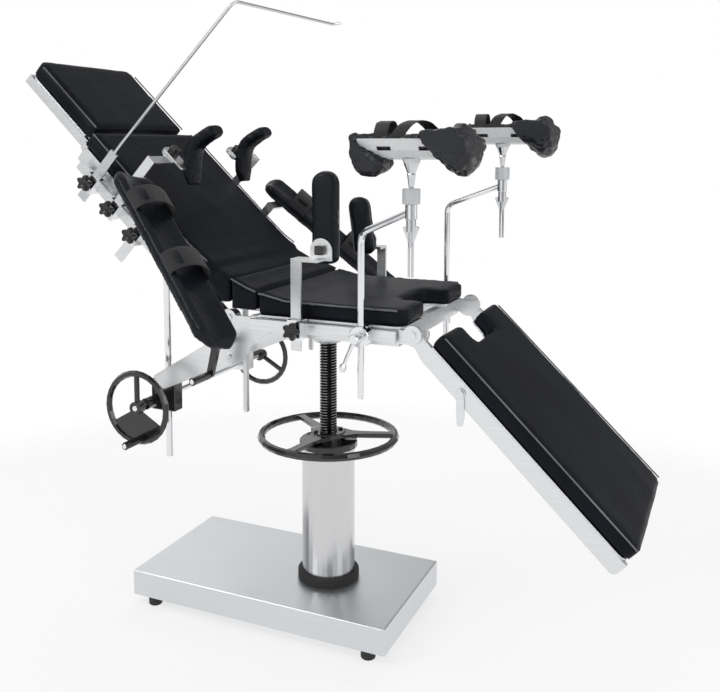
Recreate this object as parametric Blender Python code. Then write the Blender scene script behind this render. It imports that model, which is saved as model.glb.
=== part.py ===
"""Operating table on a pedestal base, with tilting back, head and leg sections, a kidney bridge and
clamp-on supports. Metres, +Z up, X runs from head to foot, the far side is +Y, the floor is z = 0
and the lifting column stands on x = y = 0."""

import math

import bmesh
import bpy
from mathutils import Matrix, Vector

for stale in list(bpy.data.objects):
    bpy.data.objects.remove(stale, do_unlink=True)

# Driving dimensions of the table
GAP = 0.0003
BACK_TILT = math.radians(43.3)
LEG_TILT = math.radians(44.3)
BACK_HINGE = (-0.175, 0.0, 0.895)
LEG_HINGE = (0.345, 0.0, 0.894)
HEAD_HINGE_S = 0.668
HEAD_HINGE_H = -0.010
BASE_X0 = -0.538
BASE_X1 = 0.262
BASE_HALF = 0.215
BASE_TOP = 0.103
COLUMN_R = 0.076
COLUMN_WALL = 0.004
COLLAR_WALL = 0.013
SCREW_PLAY = 0.0006
FOOT_INSET = 0.029
COLUMN_TOP = 0.494
SCREW_R = 0.025
BEAM_IN = 0.222
BEAM_OUT = 0.245
RAIL_IN = BEAM_OUT + 0.017
RAIL_OUT = RAIL_IN + 0.010
PLATE_IN = BEAM_OUT + GAP
PLATE_OUT = 0.2533
PAD_OVER = 0.0075
PAD_HALF = BEAM_OUT + PAD_OVER

# Gear train of the back lift and of the kidney bridge
MODULE = 0.002
PITCH = math.pi * MODULE
TOOTH = PITCH / 2.0 - 0.00015
SHAFT_X = -0.414
SHAFT_Z = 0.644
SHAFT_TEETH = 16
ROD_X = -0.391
ROD_Y = -0.2265
CRANK_X = -0.1725
CRANK_Z = 0.832
CRANK_TEETH = 13

# Stations of the accessories, measured along the back from its hinge or along X on the seat
SCREEN_S = 0.548
SHOULDER_S = 0.447
ARM_S = (0.345, 0.30)
SIDE_X = (0.044, 0.050)
LEG_X = (0.224, 0.258)
BAR_IN = 0.2785
BAR_OUT = 0.2865

POLISHED = ("polished_steel", (0.80, 0.81, 0.82, 1.0), 1.0, 0.14)
BRUSHED = ("brushed_steel", (0.66, 0.67, 0.68, 1.0), 1.0, 0.34)
BLACK_KNOB = ("black_knob", (0.02, 0.02, 0.022, 1.0), 0.0, 0.35)
UPHOLSTERY = ("black_upholstery", (0.018, 0.018, 0.020, 1.0), 0.0, 0.48)
WHITE_SHELL = ("white_shell", (0.86, 0.87, 0.87, 1.0), 0.0, 0.40)


def solid(bm):
    """Turn an edited mesh into an object with outward faces."""
    bmesh.ops.recalc_face_normals(bm, faces=bm.faces)
    if bm.calc_volume(signed=True) < 0.0:
        bmesh.ops.reverse_faces(bm, faces=bm.faces)
    mesh = bpy.data.meshes.new("piece")
    bm.to_mesh(mesh)
    bm.free()
    made = bpy.data.objects.new("piece", mesh)
    bpy.context.scene.collection.objects.link(made)
    return made


def on_axis(axis, at, u, v, t):
    """Point at t along the axis, offset by u and v from the line through `at`."""
    if axis == "X":
        return (t, at[0] + u, at[1] + v)
    if axis == "Y":
        return (at[0] + u, t, at[1] + v)
    return (at[0] + u, at[1] + v, t)


def block(x, y, z, bevel=0.0, steps=2, spare=None):
    """Box between the pairs x, y and z; edges named by `spare` stay sharp."""
    bm = bmesh.new()
    bmesh.ops.create_cube(bm, size=2.0)
    for vert in bm.verts:
        vert.co = Vector((
            min(x) if vert.co.x < 0.0 else max(x),
            min(y) if vert.co.y < 0.0 else max(y),
            min(z) if vert.co.z < 0.0 else max(z),
        ))
    if bevel > 0.0:
        edges = []
        for edge in bm.edges:
            if spare is None or not spare(edge.verts[0].co, edge.verts[1].co):
                edges.append(edge)
        bmesh.ops.bevel(bm, geom=edges, offset=bevel, segments=steps, profile=0.5, affect="EDGES")
    return solid(bm)


def prism(outline, lo, hi, axis="Y", bevel=0.0, steps=1):
    """Flat outline in the two other coordinates, carried from lo to hi along the axis."""
    bm = bmesh.new()
    lo, hi = min(lo, hi), max(lo, hi)
    low = [bm.verts.new(on_axis(axis, (0.0, 0.0), a, b, lo)) for a, b in outline]
    high = [bm.verts.new(on_axis(axis, (0.0, 0.0), a, b, hi)) for a, b in outline]
    count = len(outline)
    caps = [bm.faces.new(low), bm.faces.new(high)]
    for i in range(count):
        j = (i + 1) % count
        bm.faces.new((low[i], low[j], high[j], high[i]))
    if bevel > 0.0:
        bmesh.ops.recalc_face_normals(bm, faces=bm.faces)
        edges = list(caps[0].edges) + list(caps[1].edges)
        bmesh.ops.bevel(bm, geom=edges, offset=bevel, segments=steps, profile=0.5, affect="EDGES")
    return solid(bm)


def lathe(axis, at, profile, sides=32, phase=0.0):
    """Turned body; profile holds (radius, position along the axis). A profile that starts and
    ends on the axis has flat ends; one that never touches it closes on itself and makes a ring."""
    bm = bmesh.new()
    rings = []
    for radius, t in profile:
        if radius < 1e-9:
            rings.append([])
            continue
        ring = []
        for k in range(sides):
            angle = phase + 2.0 * math.pi * k / sides
            ring.append(bm.verts.new(on_axis(
                axis, at, radius * math.cos(angle), radius * math.sin(angle), t)))
        rings.append(ring)
    closed = profile[0][0] > 1e-9 and profile[-1][0] > 1e-9
    count = len(rings)
    for i in range(count if closed else count - 1):
        a = rings[i]
        b = rings[(i + 1) % count]
        if not a or not b:
            bm.faces.new(a or b)
            continue
        for k in range(sides):
            j = (k + 1) % sides
            bm.faces.new((a[k], a[j], b[j], b[k]))
    return solid(bm)


def rod(axis, at, radius, lo, hi, sides=32, chamfer=0.0):
    """Round bar between lo and hi with chamfered ends."""
    lo, hi = min(lo, hi), max(lo, hi)
    profile = [(0.0, lo), (radius - chamfer, lo)]
    if chamfer > 0.0:
        profile += [(radius, lo + chamfer), (radius, hi - chamfer)]
    profile += [(radius - chamfer, hi), (0.0, hi)]
    return lathe(axis, at, profile, sides, (radius * 4321.0) % 1.0)


def torus(axis, at, t, radius, tube, sides=48, around=12):
    """Round hand rim."""
    profile = []
    for k in range(around):
        angle = 2.0 * math.pi * k / around
        profile.append((radius + tube * math.cos(angle), t + tube * math.sin(angle)))
    return lathe(axis, at, profile, sides)


def fillet(points, radii, steps=4):
    """Round the corners of a flat outline; radii is one value or one value per corner."""
    out = []
    count = len(points)
    for i in range(count):
        radius = radii[i] if isinstance(radii, (list, tuple)) else radii
        b = Vector(points[i])
        if radius <= 0.0:
            out.append((b.x, b.y))
            continue
        u = Vector(points[i - 1]) - b
        v = Vector(points[(i + 1) % count]) - b
        half = u.angle(v) / 2.0
        reach = min(radius / math.tan(half), 0.48 * u.length, 0.48 * v.length)
        r = reach * math.tan(half)
        u.normalize()
        v.normalize()
        centre = b + (u + v).normalized() * (r / math.sin(half))
        a = b + u * reach - centre
        c = b + v * reach - centre
        start = math.atan2(a.y, a.x)
        turn = (math.atan2(c.y, c.x) - start + math.pi) % (2.0 * math.pi) - math.pi
        for k in range(steps + 1):
            angle = start + turn * k / steps
            out.append((centre.x + r * math.cos(angle), centre.y + r * math.sin(angle)))
    return out


def bend(points, radius, steps=5):
    """Path of a bent bar: straight runs joined by arcs."""
    pts = [Vector(p) for p in points]
    path = [pts[0]]
    for i in range(1, len(pts) - 1):
        b = pts[i]
        u = pts[i - 1] - b
        v = pts[i + 1] - b
        half = u.angle(v) / 2.0
        reach = min(radius / math.tan(half), 0.45 * u.length, 0.45 * v.length)
        r = reach * math.tan(half)
        u.normalize()
        v.normalize()
        centre = b + (u + v).normalized() * (r / math.sin(half))
        a = b + u * reach - centre
        c = b + v * reach - centre
        total = a.angle(c)
        for k in range(steps + 1):
            w = k / steps
            arm = (a * math.sin((1.0 - w) * total) + c * math.sin(w * total)) / math.sin(total)
            path.append(centre + arm)
    path.append(pts[-1])
    return path


def circle(radius, sides=12):
    """Round section for a bent bar."""
    return [(radius * math.cos(2.0 * math.pi * k / sides), radius * math.sin(2.0 * math.pi * k / sides))
            for k in range(sides)]


def loft(rings):
    """Skin over a row of matching rings, closed at both ends."""
    bm = bmesh.new()
    loops = [[bm.verts.new(p) for p in ring] for ring in rings]
    for a, b in zip(loops, loops[1:]):
        for k in range(len(a)):
            j = (k + 1) % len(a)
            bm.faces.new((a[k], a[j], b[j], b[k]))
    bm.faces.new(loops[0])
    bm.faces.new(loops[-1])
    return solid(bm)


def sweep(path, section, up=(0.0, 1.0, 0.0), scales=None):
    """Carry a section along a path; its first coordinate keeps close to `up`."""
    pts = [Vector(p) for p in path]
    side = Vector(up)
    rings = []
    for i, point in enumerate(pts):
        ahead = pts[min(i + 1, len(pts) - 1)] - point
        behind = point - pts[max(i - 1, 0)]
        tangent = (ahead.normalized() + behind.normalized()).normalized()
        side = (side - tangent * side.dot(tangent)).normalized()
        other = tangent.cross(side)
        scale = scales[i] if scales else 1.0
        rings.append([point + (side * a + other * b) * scale for a, b in section])
    return loft(rings)


def combine(target, others, operation):
    """Join or cut the target with the others and keep only the result."""
    for other in others:
        step = target.modifiers.new("shape", "BOOLEAN")
        step.operation = operation
        step.solver = "EXACT"
        step.object = other
    graph = bpy.context.evaluated_depsgraph_get()
    mesh = bpy.data.meshes.new_from_object(target.evaluated_get(graph))
    target.modifiers.clear()
    target.data = mesh
    for other in others:
        bpy.data.objects.remove(other, do_unlink=True)
    return target


def fuse(first, *rest):
    """One solid from several overlapping solids."""
    return combine(first, list(rest), "UNION")


def cut(first, *rest):
    """Remove the later solids from the first."""
    return combine(first, list(rest), "DIFFERENCE")


MATERIALS = {}


def finish_of(look):
    """Shader of one finish, made once."""
    name, colour, metallic, roughness = look
    if name not in MATERIALS:
        made = bpy.data.materials.new(name)
        made.use_nodes = True
        shader = made.node_tree.nodes["Principled BSDF"]
        shader.inputs["Base Color"].default_value = colour
        shader.inputs["Metallic"].default_value = metallic
        shader.inputs["Roughness"].default_value = roughness
        MATERIALS[name] = made
    return MATERIALS[name]


def node(name, made, look, parent=None, origin=(0.0, 0.0, 0.0)):
    """Name a finished piece, put its origin on its joint and hang it on its section."""
    bm = bmesh.new()
    bm.from_mesh(made.data)
    bmesh.ops.remove_doubles(bm, verts=bm.verts, dist=0.00001)
    bmesh.ops.dissolve_degenerate(bm, dist=0.00001, edges=bm.edges)
    bmesh.ops.dissolve_limit(bm, angle_limit=math.radians(0.2), verts=bm.verts, edges=bm.edges)
    bmesh.ops.recalc_face_normals(bm, faces=bm.faces)
    if bm.calc_volume(signed=True) < 0.0:
        bmesh.ops.reverse_faces(bm, faces=bm.faces)
    bmesh.ops.translate(bm, verts=bm.verts, vec=-Vector(origin))
    mesh = bpy.data.meshes.new(name)
    bm.to_mesh(mesh)
    bm.free()
    mesh.materials.append(finish_of(look))
    mesh.shade_smooth()
    mesh.set_sharp_from_angle(angle=math.radians(32.0))
    made.data = mesh
    made.name = name
    made.location = origin
    if parent is not None:
        made.parent = parent
    return made


def hinge_empty(name, at, turn):
    """Frame of a tilting section: origin on its hinge, turned about Y to its rest angle."""
    made = bpy.data.objects.new(name, None)
    made.location = at
    made.rotation_euler = (0.0, turn, 0.0)
    bpy.context.scene.collection.objects.link(made)
    return made


def gear_outline(centre, teeth, tip, root, toward):
    """Involute pinion seen along its axis; one tooth points in the direction `toward`."""
    radius = MODULE * teeth / 2.0
    base = radius * math.cos(math.radians(20.0))

    def half_angle(r):
        alpha = math.acos(min(1.0, base / max(r, base)))
        start = math.tan(math.radians(20.0)) - math.radians(20.0)
        return TOOTH / (2.0 * radius) + start - (math.tan(alpha) - alpha)

    flank = [root, base + (tip - base) * 0.40, tip]
    out = []
    for tooth in range(teeth):
        middle = toward + 2.0 * math.pi * tooth / teeth
        for r in flank:
            angle = middle - half_angle(r)
            out.append((centre[0] + r * math.cos(angle), centre[1] + r * math.sin(angle)))
        for r in reversed(flank):
            angle = middle + half_angle(r)
            out.append((centre[0] + r * math.cos(angle), centre[1] + r * math.sin(angle)))
    return out


def rack_outline(pitch_line, back, tip, root, lo, hi, gap_at):
    """Toothed strip in XZ with teeth toward -X; a gap between teeth is centred on gap_at."""
    slope = math.tan(math.radians(20.0))
    wide_tip = TOOTH / 2.0 - tip * slope
    wide_root = TOOTH / 2.0 + root * slope
    out = [(back, lo), (pitch_line + root, lo)]
    k = math.ceil((lo + wide_root - gap_at - PITCH / 2.0) / PITCH + 0.02)
    while True:
        middle = gap_at + PITCH / 2.0 + k * PITCH
        if middle + wide_root > hi - 0.0003:
            break
        out.append((pitch_line + root, middle - wide_root))
        out.append((pitch_line - tip, middle - wide_tip))
        out.append((pitch_line - tip, middle + wide_tip))
        out.append((pitch_line + root, middle + wide_root))
        k += 1
    out += [(pitch_line + root, hi), (back, hi)]
    return out


back_hinge = hinge_empty("back_hinge", BACK_HINGE, BACK_TILT)
leg_hinge = hinge_empty("leg_hinge", LEG_HINGE, LEG_TILT)
head_hinge = hinge_empty("head_hinge", (-HEAD_HINGE_S, 0.0, HEAD_HINGE_H), 0.0)
head_hinge.parent = back_hinge


def turned(made, axis, angle, about=(0.0, 0.0, 0.0)):
    """Turn a solid about a line parallel to one axis."""
    there = Matrix.Translation(Vector(about))
    back = Matrix.Translation(-Vector(about))
    made.data.transform(there @ Matrix.Rotation(angle, 4, axis) @ back)
    return made


def soften(made, width, steps=2, limit=50.0):
    """Round the edges of a cushion."""
    step = made.modifiers.new("edge", "BEVEL")
    step.limit_method = "ANGLE"
    step.angle_limit = math.radians(limit)
    step.width = width
    step.segments = steps
    return combine(made, [], "UNION")


def pad_solid(profile, half, outline, width=0.004):
    """Cushion with a side profile in XZ and a plan outline in XY, rounded all round."""
    body = prism(profile, -half, half, "Y")
    low = min(z for x, z in profile) - 0.01
    high = max(z for x, z in profile) + 0.01
    combine(body, [prism(outline, low, high, "Z")], "INTERSECT")
    return soften(body, width)


def notched(x0, x1, half, width, depth, corner, other=0.0):
    """Plan outline with a U notch in the end at x1, the corner radius there and at the other end."""
    points = [
        (x0, -half), (x1, -half), (x1, -width), (x1 - depth, -width),
        (x1 - depth, width), (x1, width), (x1, half), (x0, half),
    ]
    return fillet(points, [other, corner, 0.018, 0.045, 0.045, 0.018, corner, other], 3)


# Base: a sheet cover over a plate that stands on four levelling feet
cover = block(
    (BASE_X0, BASE_X1), (-BASE_HALF, BASE_HALF), (0.030, BASE_TOP), 0.004, 3,
    spare=lambda a, b: a.z < 0.031 and b.z < 0.031)
cut(
    cover,
    block((BASE_X0 + 0.003, BASE_X1 - 0.003), (-BASE_HALF + 0.003, BASE_HALF - 0.003),
          (0.020, BASE_TOP - 0.003)),
    rod("Z", (0.0, 0.0), COLUMN_R + 0.0010, 0.09, 0.12, 32))
node("base_cover", cover, BRUSHED)

chassis = block(
    (BASE_X0 + 0.0033, BASE_X1 - 0.0033), (-BASE_HALF + 0.0033, BASE_HALF - 0.0033), (0.032, 0.040))
feet = [rod("Z", (x, y), 0.020, 0.0, 0.034, 12, 0.002)
        for x in (BASE_X0 + 2.0 * FOOT_INSET, BASE_X1 - 2.0 * FOOT_INSET)
        for y in (-BASE_HALF + FOOT_INSET, BASE_HALF - FOOT_INSET)]
node("base_chassis", fuse(chassis, *feet), BRUSHED)

# Lifting column: fixed tube, sleeve at its foot, bush with a key for the screw
node("column_tube", lathe("Z", (0.0, 0.0), [
    (COLUMN_R - COLUMN_WALL, 0.0403), (COLUMN_R + 0.034, 0.0403), (COLUMN_R + 0.034, 0.050),
    (COLUMN_R, 0.050), (COLUMN_R, COLUMN_TOP), (COLUMN_R - COLUMN_WALL, COLUMN_TOP)], 32), POLISHED)
node("column_collar", lathe("Z", (0.0, 0.0), [
    (COLUMN_R + GAP, BASE_TOP + GAP), (COLUMN_R + COLLAR_WALL, BASE_TOP + GAP),
    (COLUMN_R + COLLAR_WALL, BASE_TOP + 0.022), (COLUMN_R + COLLAR_WALL - 0.003, BASE_TOP + 0.025),
    (COLUMN_R + GAP, BASE_TOP + 0.025)], 32), BLACK_KNOB)
bush = lathe("Z", (0.0, 0.0), [
    (SCREW_R + SCREW_PLAY, COLUMN_TOP - 0.054), (COLUMN_R - COLUMN_WALL - GAP, COLUMN_TOP - 0.054),
    (COLUMN_R - COLUMN_WALL - GAP, COLUMN_TOP - GAP), (SCREW_R + SCREW_PLAY, COLUMN_TOP - GAP)], 32)
key = turned(block((SCREW_R - 0.0035, SCREW_R + 0.011), (-0.0046, 0.0046),
                   (COLUMN_TOP - 0.0535, COLUMN_TOP - GAP - 0.0005)),
             "Z", math.radians(-60.0))
node("column_bush", fuse(bush, key), BRUSHED)

wheel = lathe("Z", (0.0, 0.0), [
    (SCREW_R + 0.0008, COLUMN_TOP + GAP), (COLUMN_R + 0.008, COLUMN_TOP + GAP),
    (COLUMN_R + 0.008, COLUMN_TOP + 0.015), (COLUMN_R + 0.005, COLUMN_TOP + 0.018),
    (0.050, COLUMN_TOP + 0.018), (0.050, 0.533), (0.047, 0.536), (SCREW_R + 0.0008, 0.536)], 20)
spokes = [turned(rod("X", (0.0, 0.523), 0.008, 0.046, 0.192, 8), "Z", math.radians(a))
          for a in (22.0, 142.0, 262.0)]
rim = torus("Z", (0.0, 0.0), 0.523, 0.193, 0.011, 36, 7)
bolts = [turned(rod("Z", (0.038, 0.0), 0.0062, 0.534, 0.5412, 6), "Z", math.radians(a))
         for a in (45.0, 135.0, 225.0, 315.0)]
node("lift_handwheel", fuse(wheel, *spokes, rim, *bolts), BLACK_KNOB)

screw = fuse(
    rod("Z", (0.0, 0.0), SCREW_R, 0.25, 0.812, 20, 0.003),
    lathe("Z", (0.0, 0.0), [(0.0, 0.800), (0.040, 0.800), (0.045, 0.806), (0.045, 0.8465), (0.0, 0.8465)], 24),
    block((-0.10, 0.10), (-0.10, 0.10), (0.8455, 0.8607), 0.003, 1))
keyway = turned(block((SCREW_R - 0.004, SCREW_R + 0.005), (-0.005, 0.005), (0.24, 0.79)),
                "Z", math.radians(-60.0))
node("lift_screw", cut(screw, keyway), POLISHED)

# Seat section: welded frame with its side rails, carried on the screw plate
seat_parts = [prism(notched(-0.085, 0.322, 0.2515, 0.097, 0.069, 0.028), 0.9045, 0.9108, "Z")]
for side in (-1.0, 1.0):
    quadrant = rod("Y", (0.345, 0.894), 0.035, side * 0.2235, side * 0.2295, 20)
    cut(quadrant, block((0.29, 0.40), (side * 0.220, side * 0.233), (0.9040, 0.94)))
    seat_parts += [
        quadrant,
        block((-0.112, 0.308), (side * BEAM_IN, side * BEAM_OUT), (0.861, 0.906)),
        block((0.255, 0.300), (side * 0.240, side * 0.250), (0.8725, 0.9030)),
        block((0.256, 0.345), (side * 0.2463, side * 0.2543), (0.8705, 0.9037)),
        rod("Y", (0.345, 0.894), 0.024, side * 0.2463, side * 0.2543, 20),
        block((0.300, 0.345), (side * 0.2235, side * 0.2295), (0.8700, 0.9035)),
        rod("Y", (0.345, 0.894), 0.008, side * 0.2240, side * 0.2500, 20),
        rod("Y", (0.345, 0.894), 0.011, side * 0.2530, side * 0.2585, 6),
        block((-0.100, 0.308), (side * RAIL_IN, side * RAIL_OUT), (0.875, 0.903)),
    ]
    for x in (-0.020, 0.130, 0.280):
        seat_parts.append(rod("Y", (x, 0.889), 0.008, side * 0.2440, side * 0.2630, 8))
for x0, x1 in ((-0.112, -0.104), (-0.078, -0.062), (0.062, 0.078), (0.285, 0.308)):
    seat_parts.append(block((x0, x1), (-0.2235, 0.2235), (0.8615, 0.9050)))
node("seat_frame", fuse(*seat_parts), BRUSHED)

node("seat_pad", pad_solid(
    [(-0.0895, 0.9111), (0.327, 0.9111), (0.327, 0.953), (0.13, 0.953), (0.005, 0.955),
     (-0.05, 0.963), (-0.0895, 0.973)],
    PAD_HALF, notched(-0.0895, 0.327, PAD_HALF, 0.095, 0.075, 0.032)), UPHOLSTERY)

# Side brackets: plates under the seat that carry the back hinge, the bridge guides and, at
# their outer ends, the shaft of the back lift
BRACKET = [
    (-0.043, 0.9035), (-0.043, 0.872), (-0.083, 0.845), (-0.100, 0.835), (-0.118, 0.805),
    (-0.135, 0.781), (-0.215, 0.746), (-0.251, 0.736), (-0.389, 0.676), (-0.427, 0.708),
    (-0.244, 0.819), (-0.207, 0.86), (-0.190, 0.9035), (-0.13, 0.9035),
]
for name, side in (("bracket_near", -1.0), ("bracket_far", 1.0)):
    parts = [
        prism(fillet(BRACKET, 0.008, 2), side * PLATE_IN, side * PLATE_OUT, "Y"),
        rod("Y", (-0.175, 0.895), 0.0245, side * 0.2457, side * 0.2545, 20, 0.0005),
        rod("Y", (-0.175, 0.895), 0.009, side * 0.2180, side * 0.2500, 20, 0.001),
        rod("Y", (-0.175, 0.895), 0.013, side * 0.2525, side * 0.2580, 6),
        rod("Y", (-0.177, 0.791), 0.009, side * 0.2525, side * 0.2590, 6),
        rod("Y", (-0.074, 0.880), 0.0075, side * 0.2525, side * 0.2580, 6),
        block((-0.190, -0.135), (side * 0.186, side * 0.249), (0.80, 0.855)),
    ]
    if side > 0.0:
        parts.append(block((-0.4375, -0.392), (side * 0.207, side * 0.250), (0.622, 0.700)))
    body = fuse(*parts)
    cutters = [
        block((-0.1618, -0.1477), (side * 0.1937, side * 0.2063), (0.79, 0.87)),
        rod("Y", (CRANK_X, CRANK_Z), 0.0157, side * 0.1935, side * 0.2065, 20),
        rod("Y", (CRANK_X, CRANK_Z), 0.0074, side * 0.180, side * 0.262, 16),
    ]
    if side > 0.0:
        cutters.append(rod("Y", (SHAFT_X, SHAFT_Z), 0.0084, side * 0.200, side * 0.262, 16))
    node(name, cut(body, *cutters), BRUSHED)

# Kidney bridge: a lifting strip on two toothed bars, driven by a crank shaft with two pinions
bridge = [block((-0.168, -0.092), (-0.210, 0.210), (0.912, 0.9202), 0.002, 1)]
for side in (-1.0, 1.0):
    foot = 0.628 if side < 0.0 else 0.716
    outline = rack_outline(-0.1595, -0.1480, 0.0014, 0.0024, foot, 0.914, CRANK_Z)
    bridge.append(prism(outline, side * 0.194, side * 0.206, "Y"))
node("bridge_frame", fuse(*bridge), BRUSHED, origin=(-0.13, 0.0, 0.912))

node("bridge_pad", pad_solid(
    [(-0.1695, 0.9205), (-0.0901, 0.9205), (-0.0901, 0.973), (-0.13, 0.988), (-0.1695, 1.006)],
    PAD_HALF, [(-0.18, -PAD_HALF), (-0.08, -PAD_HALF), (-0.08, PAD_HALF), (-0.18, PAD_HALF)], 0.003),
    UPHOLSTERY, origin=(-0.13, 0.0, 0.9205))

crank = [
    rod("Y", (CRANK_X, CRANK_Z), 0.007, -0.335, 0.245, 16),
    rod("Y", (CRANK_X, CRANK_Z), 0.013, -0.3285, -0.3120, 16),
    prism(fillet([(-0.1835, 0.829), (-0.2010, 0.7505), (-0.1830, 0.7460), (-0.1635, 0.8245)],
                 [0.003, 0.008, 0.008, 0.003], 4), -0.3263, -0.3143, "Y"),
    rod("Y", (-0.192, 0.755), 0.0050, -0.4040, -0.3150, 16),
    rod("Y", (-0.192, 0.755), 0.0105, -0.4050, -0.3290, 12, 0.002),
]
for side in (-1.0, 1.0):
    crank.append(prism(gear_outline((CRANK_X, CRANK_Z), CRANK_TEETH, 0.0146, 0.0106, 0.0),
                       side * 0.194, side * 0.206, "Y"))
node("bridge_crank", fuse(*crank), BLACK_KNOB, origin=(CRANK_X, 0.0, CRANK_Z))

# Back lift: a cross shaft with a pinion in a small gearbox raises a toothed push rod that
# bears under the back beam
gearbox = fuse(
    block((-0.4375, -0.357), (-0.245, -0.207), (0.612, 0.700), 0.003, 1),
    rod("Y", (SHAFT_X, SHAFT_Z), 0.016, -0.305, -0.244, 20, 0.001),
    rod("Y", (-0.372, 0.690), 0.0050, -0.2453, -0.2440, 12))
cut(
    gearbox,
    rod("Y", (SHAFT_X, SHAFT_Z), 0.0084, -0.310, -0.200, 16),
    rod("Y", (SHAFT_X, SHAFT_Z), 0.0195, -0.2365, -0.2165, 20),
    rod("Z", (ROD_X, ROD_Y), 0.0099, 0.60, 0.71, 20))
node("gearbox_near", gearbox, BLACK_KNOB)

push = fuse(
    rod("Z", (ROD_X, ROD_Y), 0.0095, 0.477, 1.0245, 12, 0.0015),
    rod("Y", (ROD_X, 1.0256), 0.0125, -0.2385, -0.2145, 20, 0.001))
cut(push, block((-0.410, -0.3956), (ROD_Y - 0.012, ROD_Y + 0.012), (0.552, 0.880)))
teeth = prism(rack_outline(-0.398, -0.3930, 0.0014, 0.0024, 0.5515, 0.8805, SHAFT_Z),
              ROD_Y - 0.0043, ROD_Y + 0.0043, "Y")
node("back_rod", fuse(push, teeth), POLISHED, origin=(ROD_X, ROD_Y, 1.0256))

shaft = fuse(
    rod("Y", (SHAFT_X, SHAFT_Z), 0.008, -0.352, 0.352, 16, 0.001),
    prism(gear_outline((SHAFT_X, SHAFT_Z), SHAFT_TEETH, 0.0176, 0.0136, 0.0), -0.2345, -0.2185, "Y"))
node("wheel_shaft", shaft, POLISHED, origin=(SHAFT_X, 0.0, SHAFT_Z))

for name, side, web, grip_at in (("side_wheel_near", -1.0, 270.0, -77.0),
                                 ("side_wheel_far", 1.0, 150.0, 163.0)):
    fan = [(SHAFT_X, SHAFT_Z)]
    for k in range(13):
        angle = math.radians(web - 60.0 + 10.0 * k)
        fan.append((SHAFT_X + 0.092 * math.cos(angle), SHAFT_Z + 0.092 * math.sin(angle)))
    spoke = turned(rod("X", (side * 0.340, SHAFT_Z), 0.0075, SHAFT_X + 0.012, SHAFT_X + 0.093, 12),
                   "Y", -math.radians(web + 180.0), (SHAFT_X, 0.0, SHAFT_Z))
    a = math.radians(grip_at)
    at = (SHAFT_X + 0.083 * math.cos(a), SHAFT_Z + 0.083 * math.sin(a))
    made = fuse(
        torus("Y", (SHAFT_X, SHAFT_Z), side * 0.340, 0.094, 0.009, 28, 6),
        rod("Y", (SHAFT_X, SHAFT_Z), 0.018, side * 0.3260, side * 0.3510, 16),
        prism(fan, side * 0.338, side * 0.342, "Y"),
        spoke,
        rod("Y", at, 0.0050, side * 0.3385, side * 0.4200, 16),
        rod("Y", at, 0.0105, side * 0.3420, side * 0.4220, 12, 0.002))
    cut(made, rod("Y", (SHAFT_X, SHAFT_Z), 0.0083, side * 0.320, side * 0.356, 16))
    node(name, made, BLACK_KNOB, origin=(SHAFT_X, side * 0.340, SHAFT_Z))

# Back section, in its own frame: x = -s toward the head, z = h off the hinge plane
back_parts = [block((-0.650, -0.050), (-0.2475, 0.2475), (0.0, 0.0088))]
for side in (-1.0, 1.0):
    beam = [(0.0, 0.0006), (0.0, -0.0220), (-0.060, -0.038), (-0.655, -0.038), (-0.655, 0.0006)]
    back_parts += [
        prism(beam, side * BEAM_IN, side * BEAM_OUT, "Y"),
        rod("Y", (0.0, 0.0), 0.022, side * (BEAM_IN + 0.0003), side * (BEAM_OUT - 0.0002), 20),
        block((-0.625, -0.240), (side * RAIL_IN, side * RAIL_OUT), (-0.044, -0.016)),
        block((-0.682, -0.640), (side * 0.2135, side * 0.2215), (-0.022, 0.0040)),
        block((-0.655, -0.640), (side * 0.2150, side * 0.2300), (-0.0300, 0.0030)),
        rod("Y", (-HEAD_HINGE_S, HEAD_HINGE_H), 0.006, side * 0.1940, side * 0.2180, 16),
        rod("Y", (-HEAD_HINGE_S, HEAD_HINGE_H), 0.0155, side * 0.2140, side * 0.2212, 20),
    ]
    for s in (0.252, 0.396, 0.4975, 0.605):
        back_parts.append(rod("Y", (-s, -0.030), 0.0075, side * 0.2430, side * 0.2635, 8))
for s in (0.090, 0.360, 0.620):
    back_parts.append(block((-s - 0.015, -s + 0.015), (-0.2235, 0.2235), (-0.030, 0.0010)))
back = fuse(*back_parts)
cut(back, rod("Y", (0.0, 0.0), 0.0093, -0.26, -0.20, 20), rod("Y", (0.0, 0.0), 0.0093, 0.20, 0.26, 20))
node("back_frame", back, BRUSHED, back_hinge)

node("back_pad", pad_solid(
    [(-0.055, 0.0091), (-0.665, 0.0091), (-0.665, 0.059), (-0.22, 0.059), (-0.17, 0.0625), (-0.135, 0.068)],
    PAD_HALF, [(-0.70, -PAD_HALF), (0.0, -PAD_HALF), (0.0, PAD_HALF), (-0.70, PAD_HALF)], 0.004),
    UPHOLSTERY, back_hinge)

# Head section, hinged at the upper end of the back
HX = -HEAD_HINGE_S
HZ = HEAD_HINGE_H
head_parts = [prism(fillet([(-0.703, -0.205), (-0.703, 0.205), (-0.970, 0.205), (-0.970, -0.205)],
                           [0.0, 0.0, 0.03, 0.03], 4), 0.0042, 0.0088, "Z")]
for side in (-1.0, 1.0):
    head_parts += [
        block((-0.968, HX), (side * 0.196, side * 0.212), (-0.022, 0.0055)),
        rod("Y", (HX, HZ), 0.0155, side * 0.1963, side * 0.2117, 20),
    ]
for s in (0.710, 0.840, 0.958):
    head_parts.append(block((-s - 0.010, -s + 0.010), (-0.1975, 0.1975), (-0.018, 0.0052)))
head = fuse(*head_parts)
cut(head, rod("Y", (HX, HZ), 0.0063, -0.23, -0.18, 16), rod("Y", (HX, HZ), 0.0063, 0.18, 0.23, 16))
head.data.transform(Matrix.Translation((-HX, 0.0, -HZ)))
node("head_frame", head, BRUSHED, head_hinge)

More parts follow.
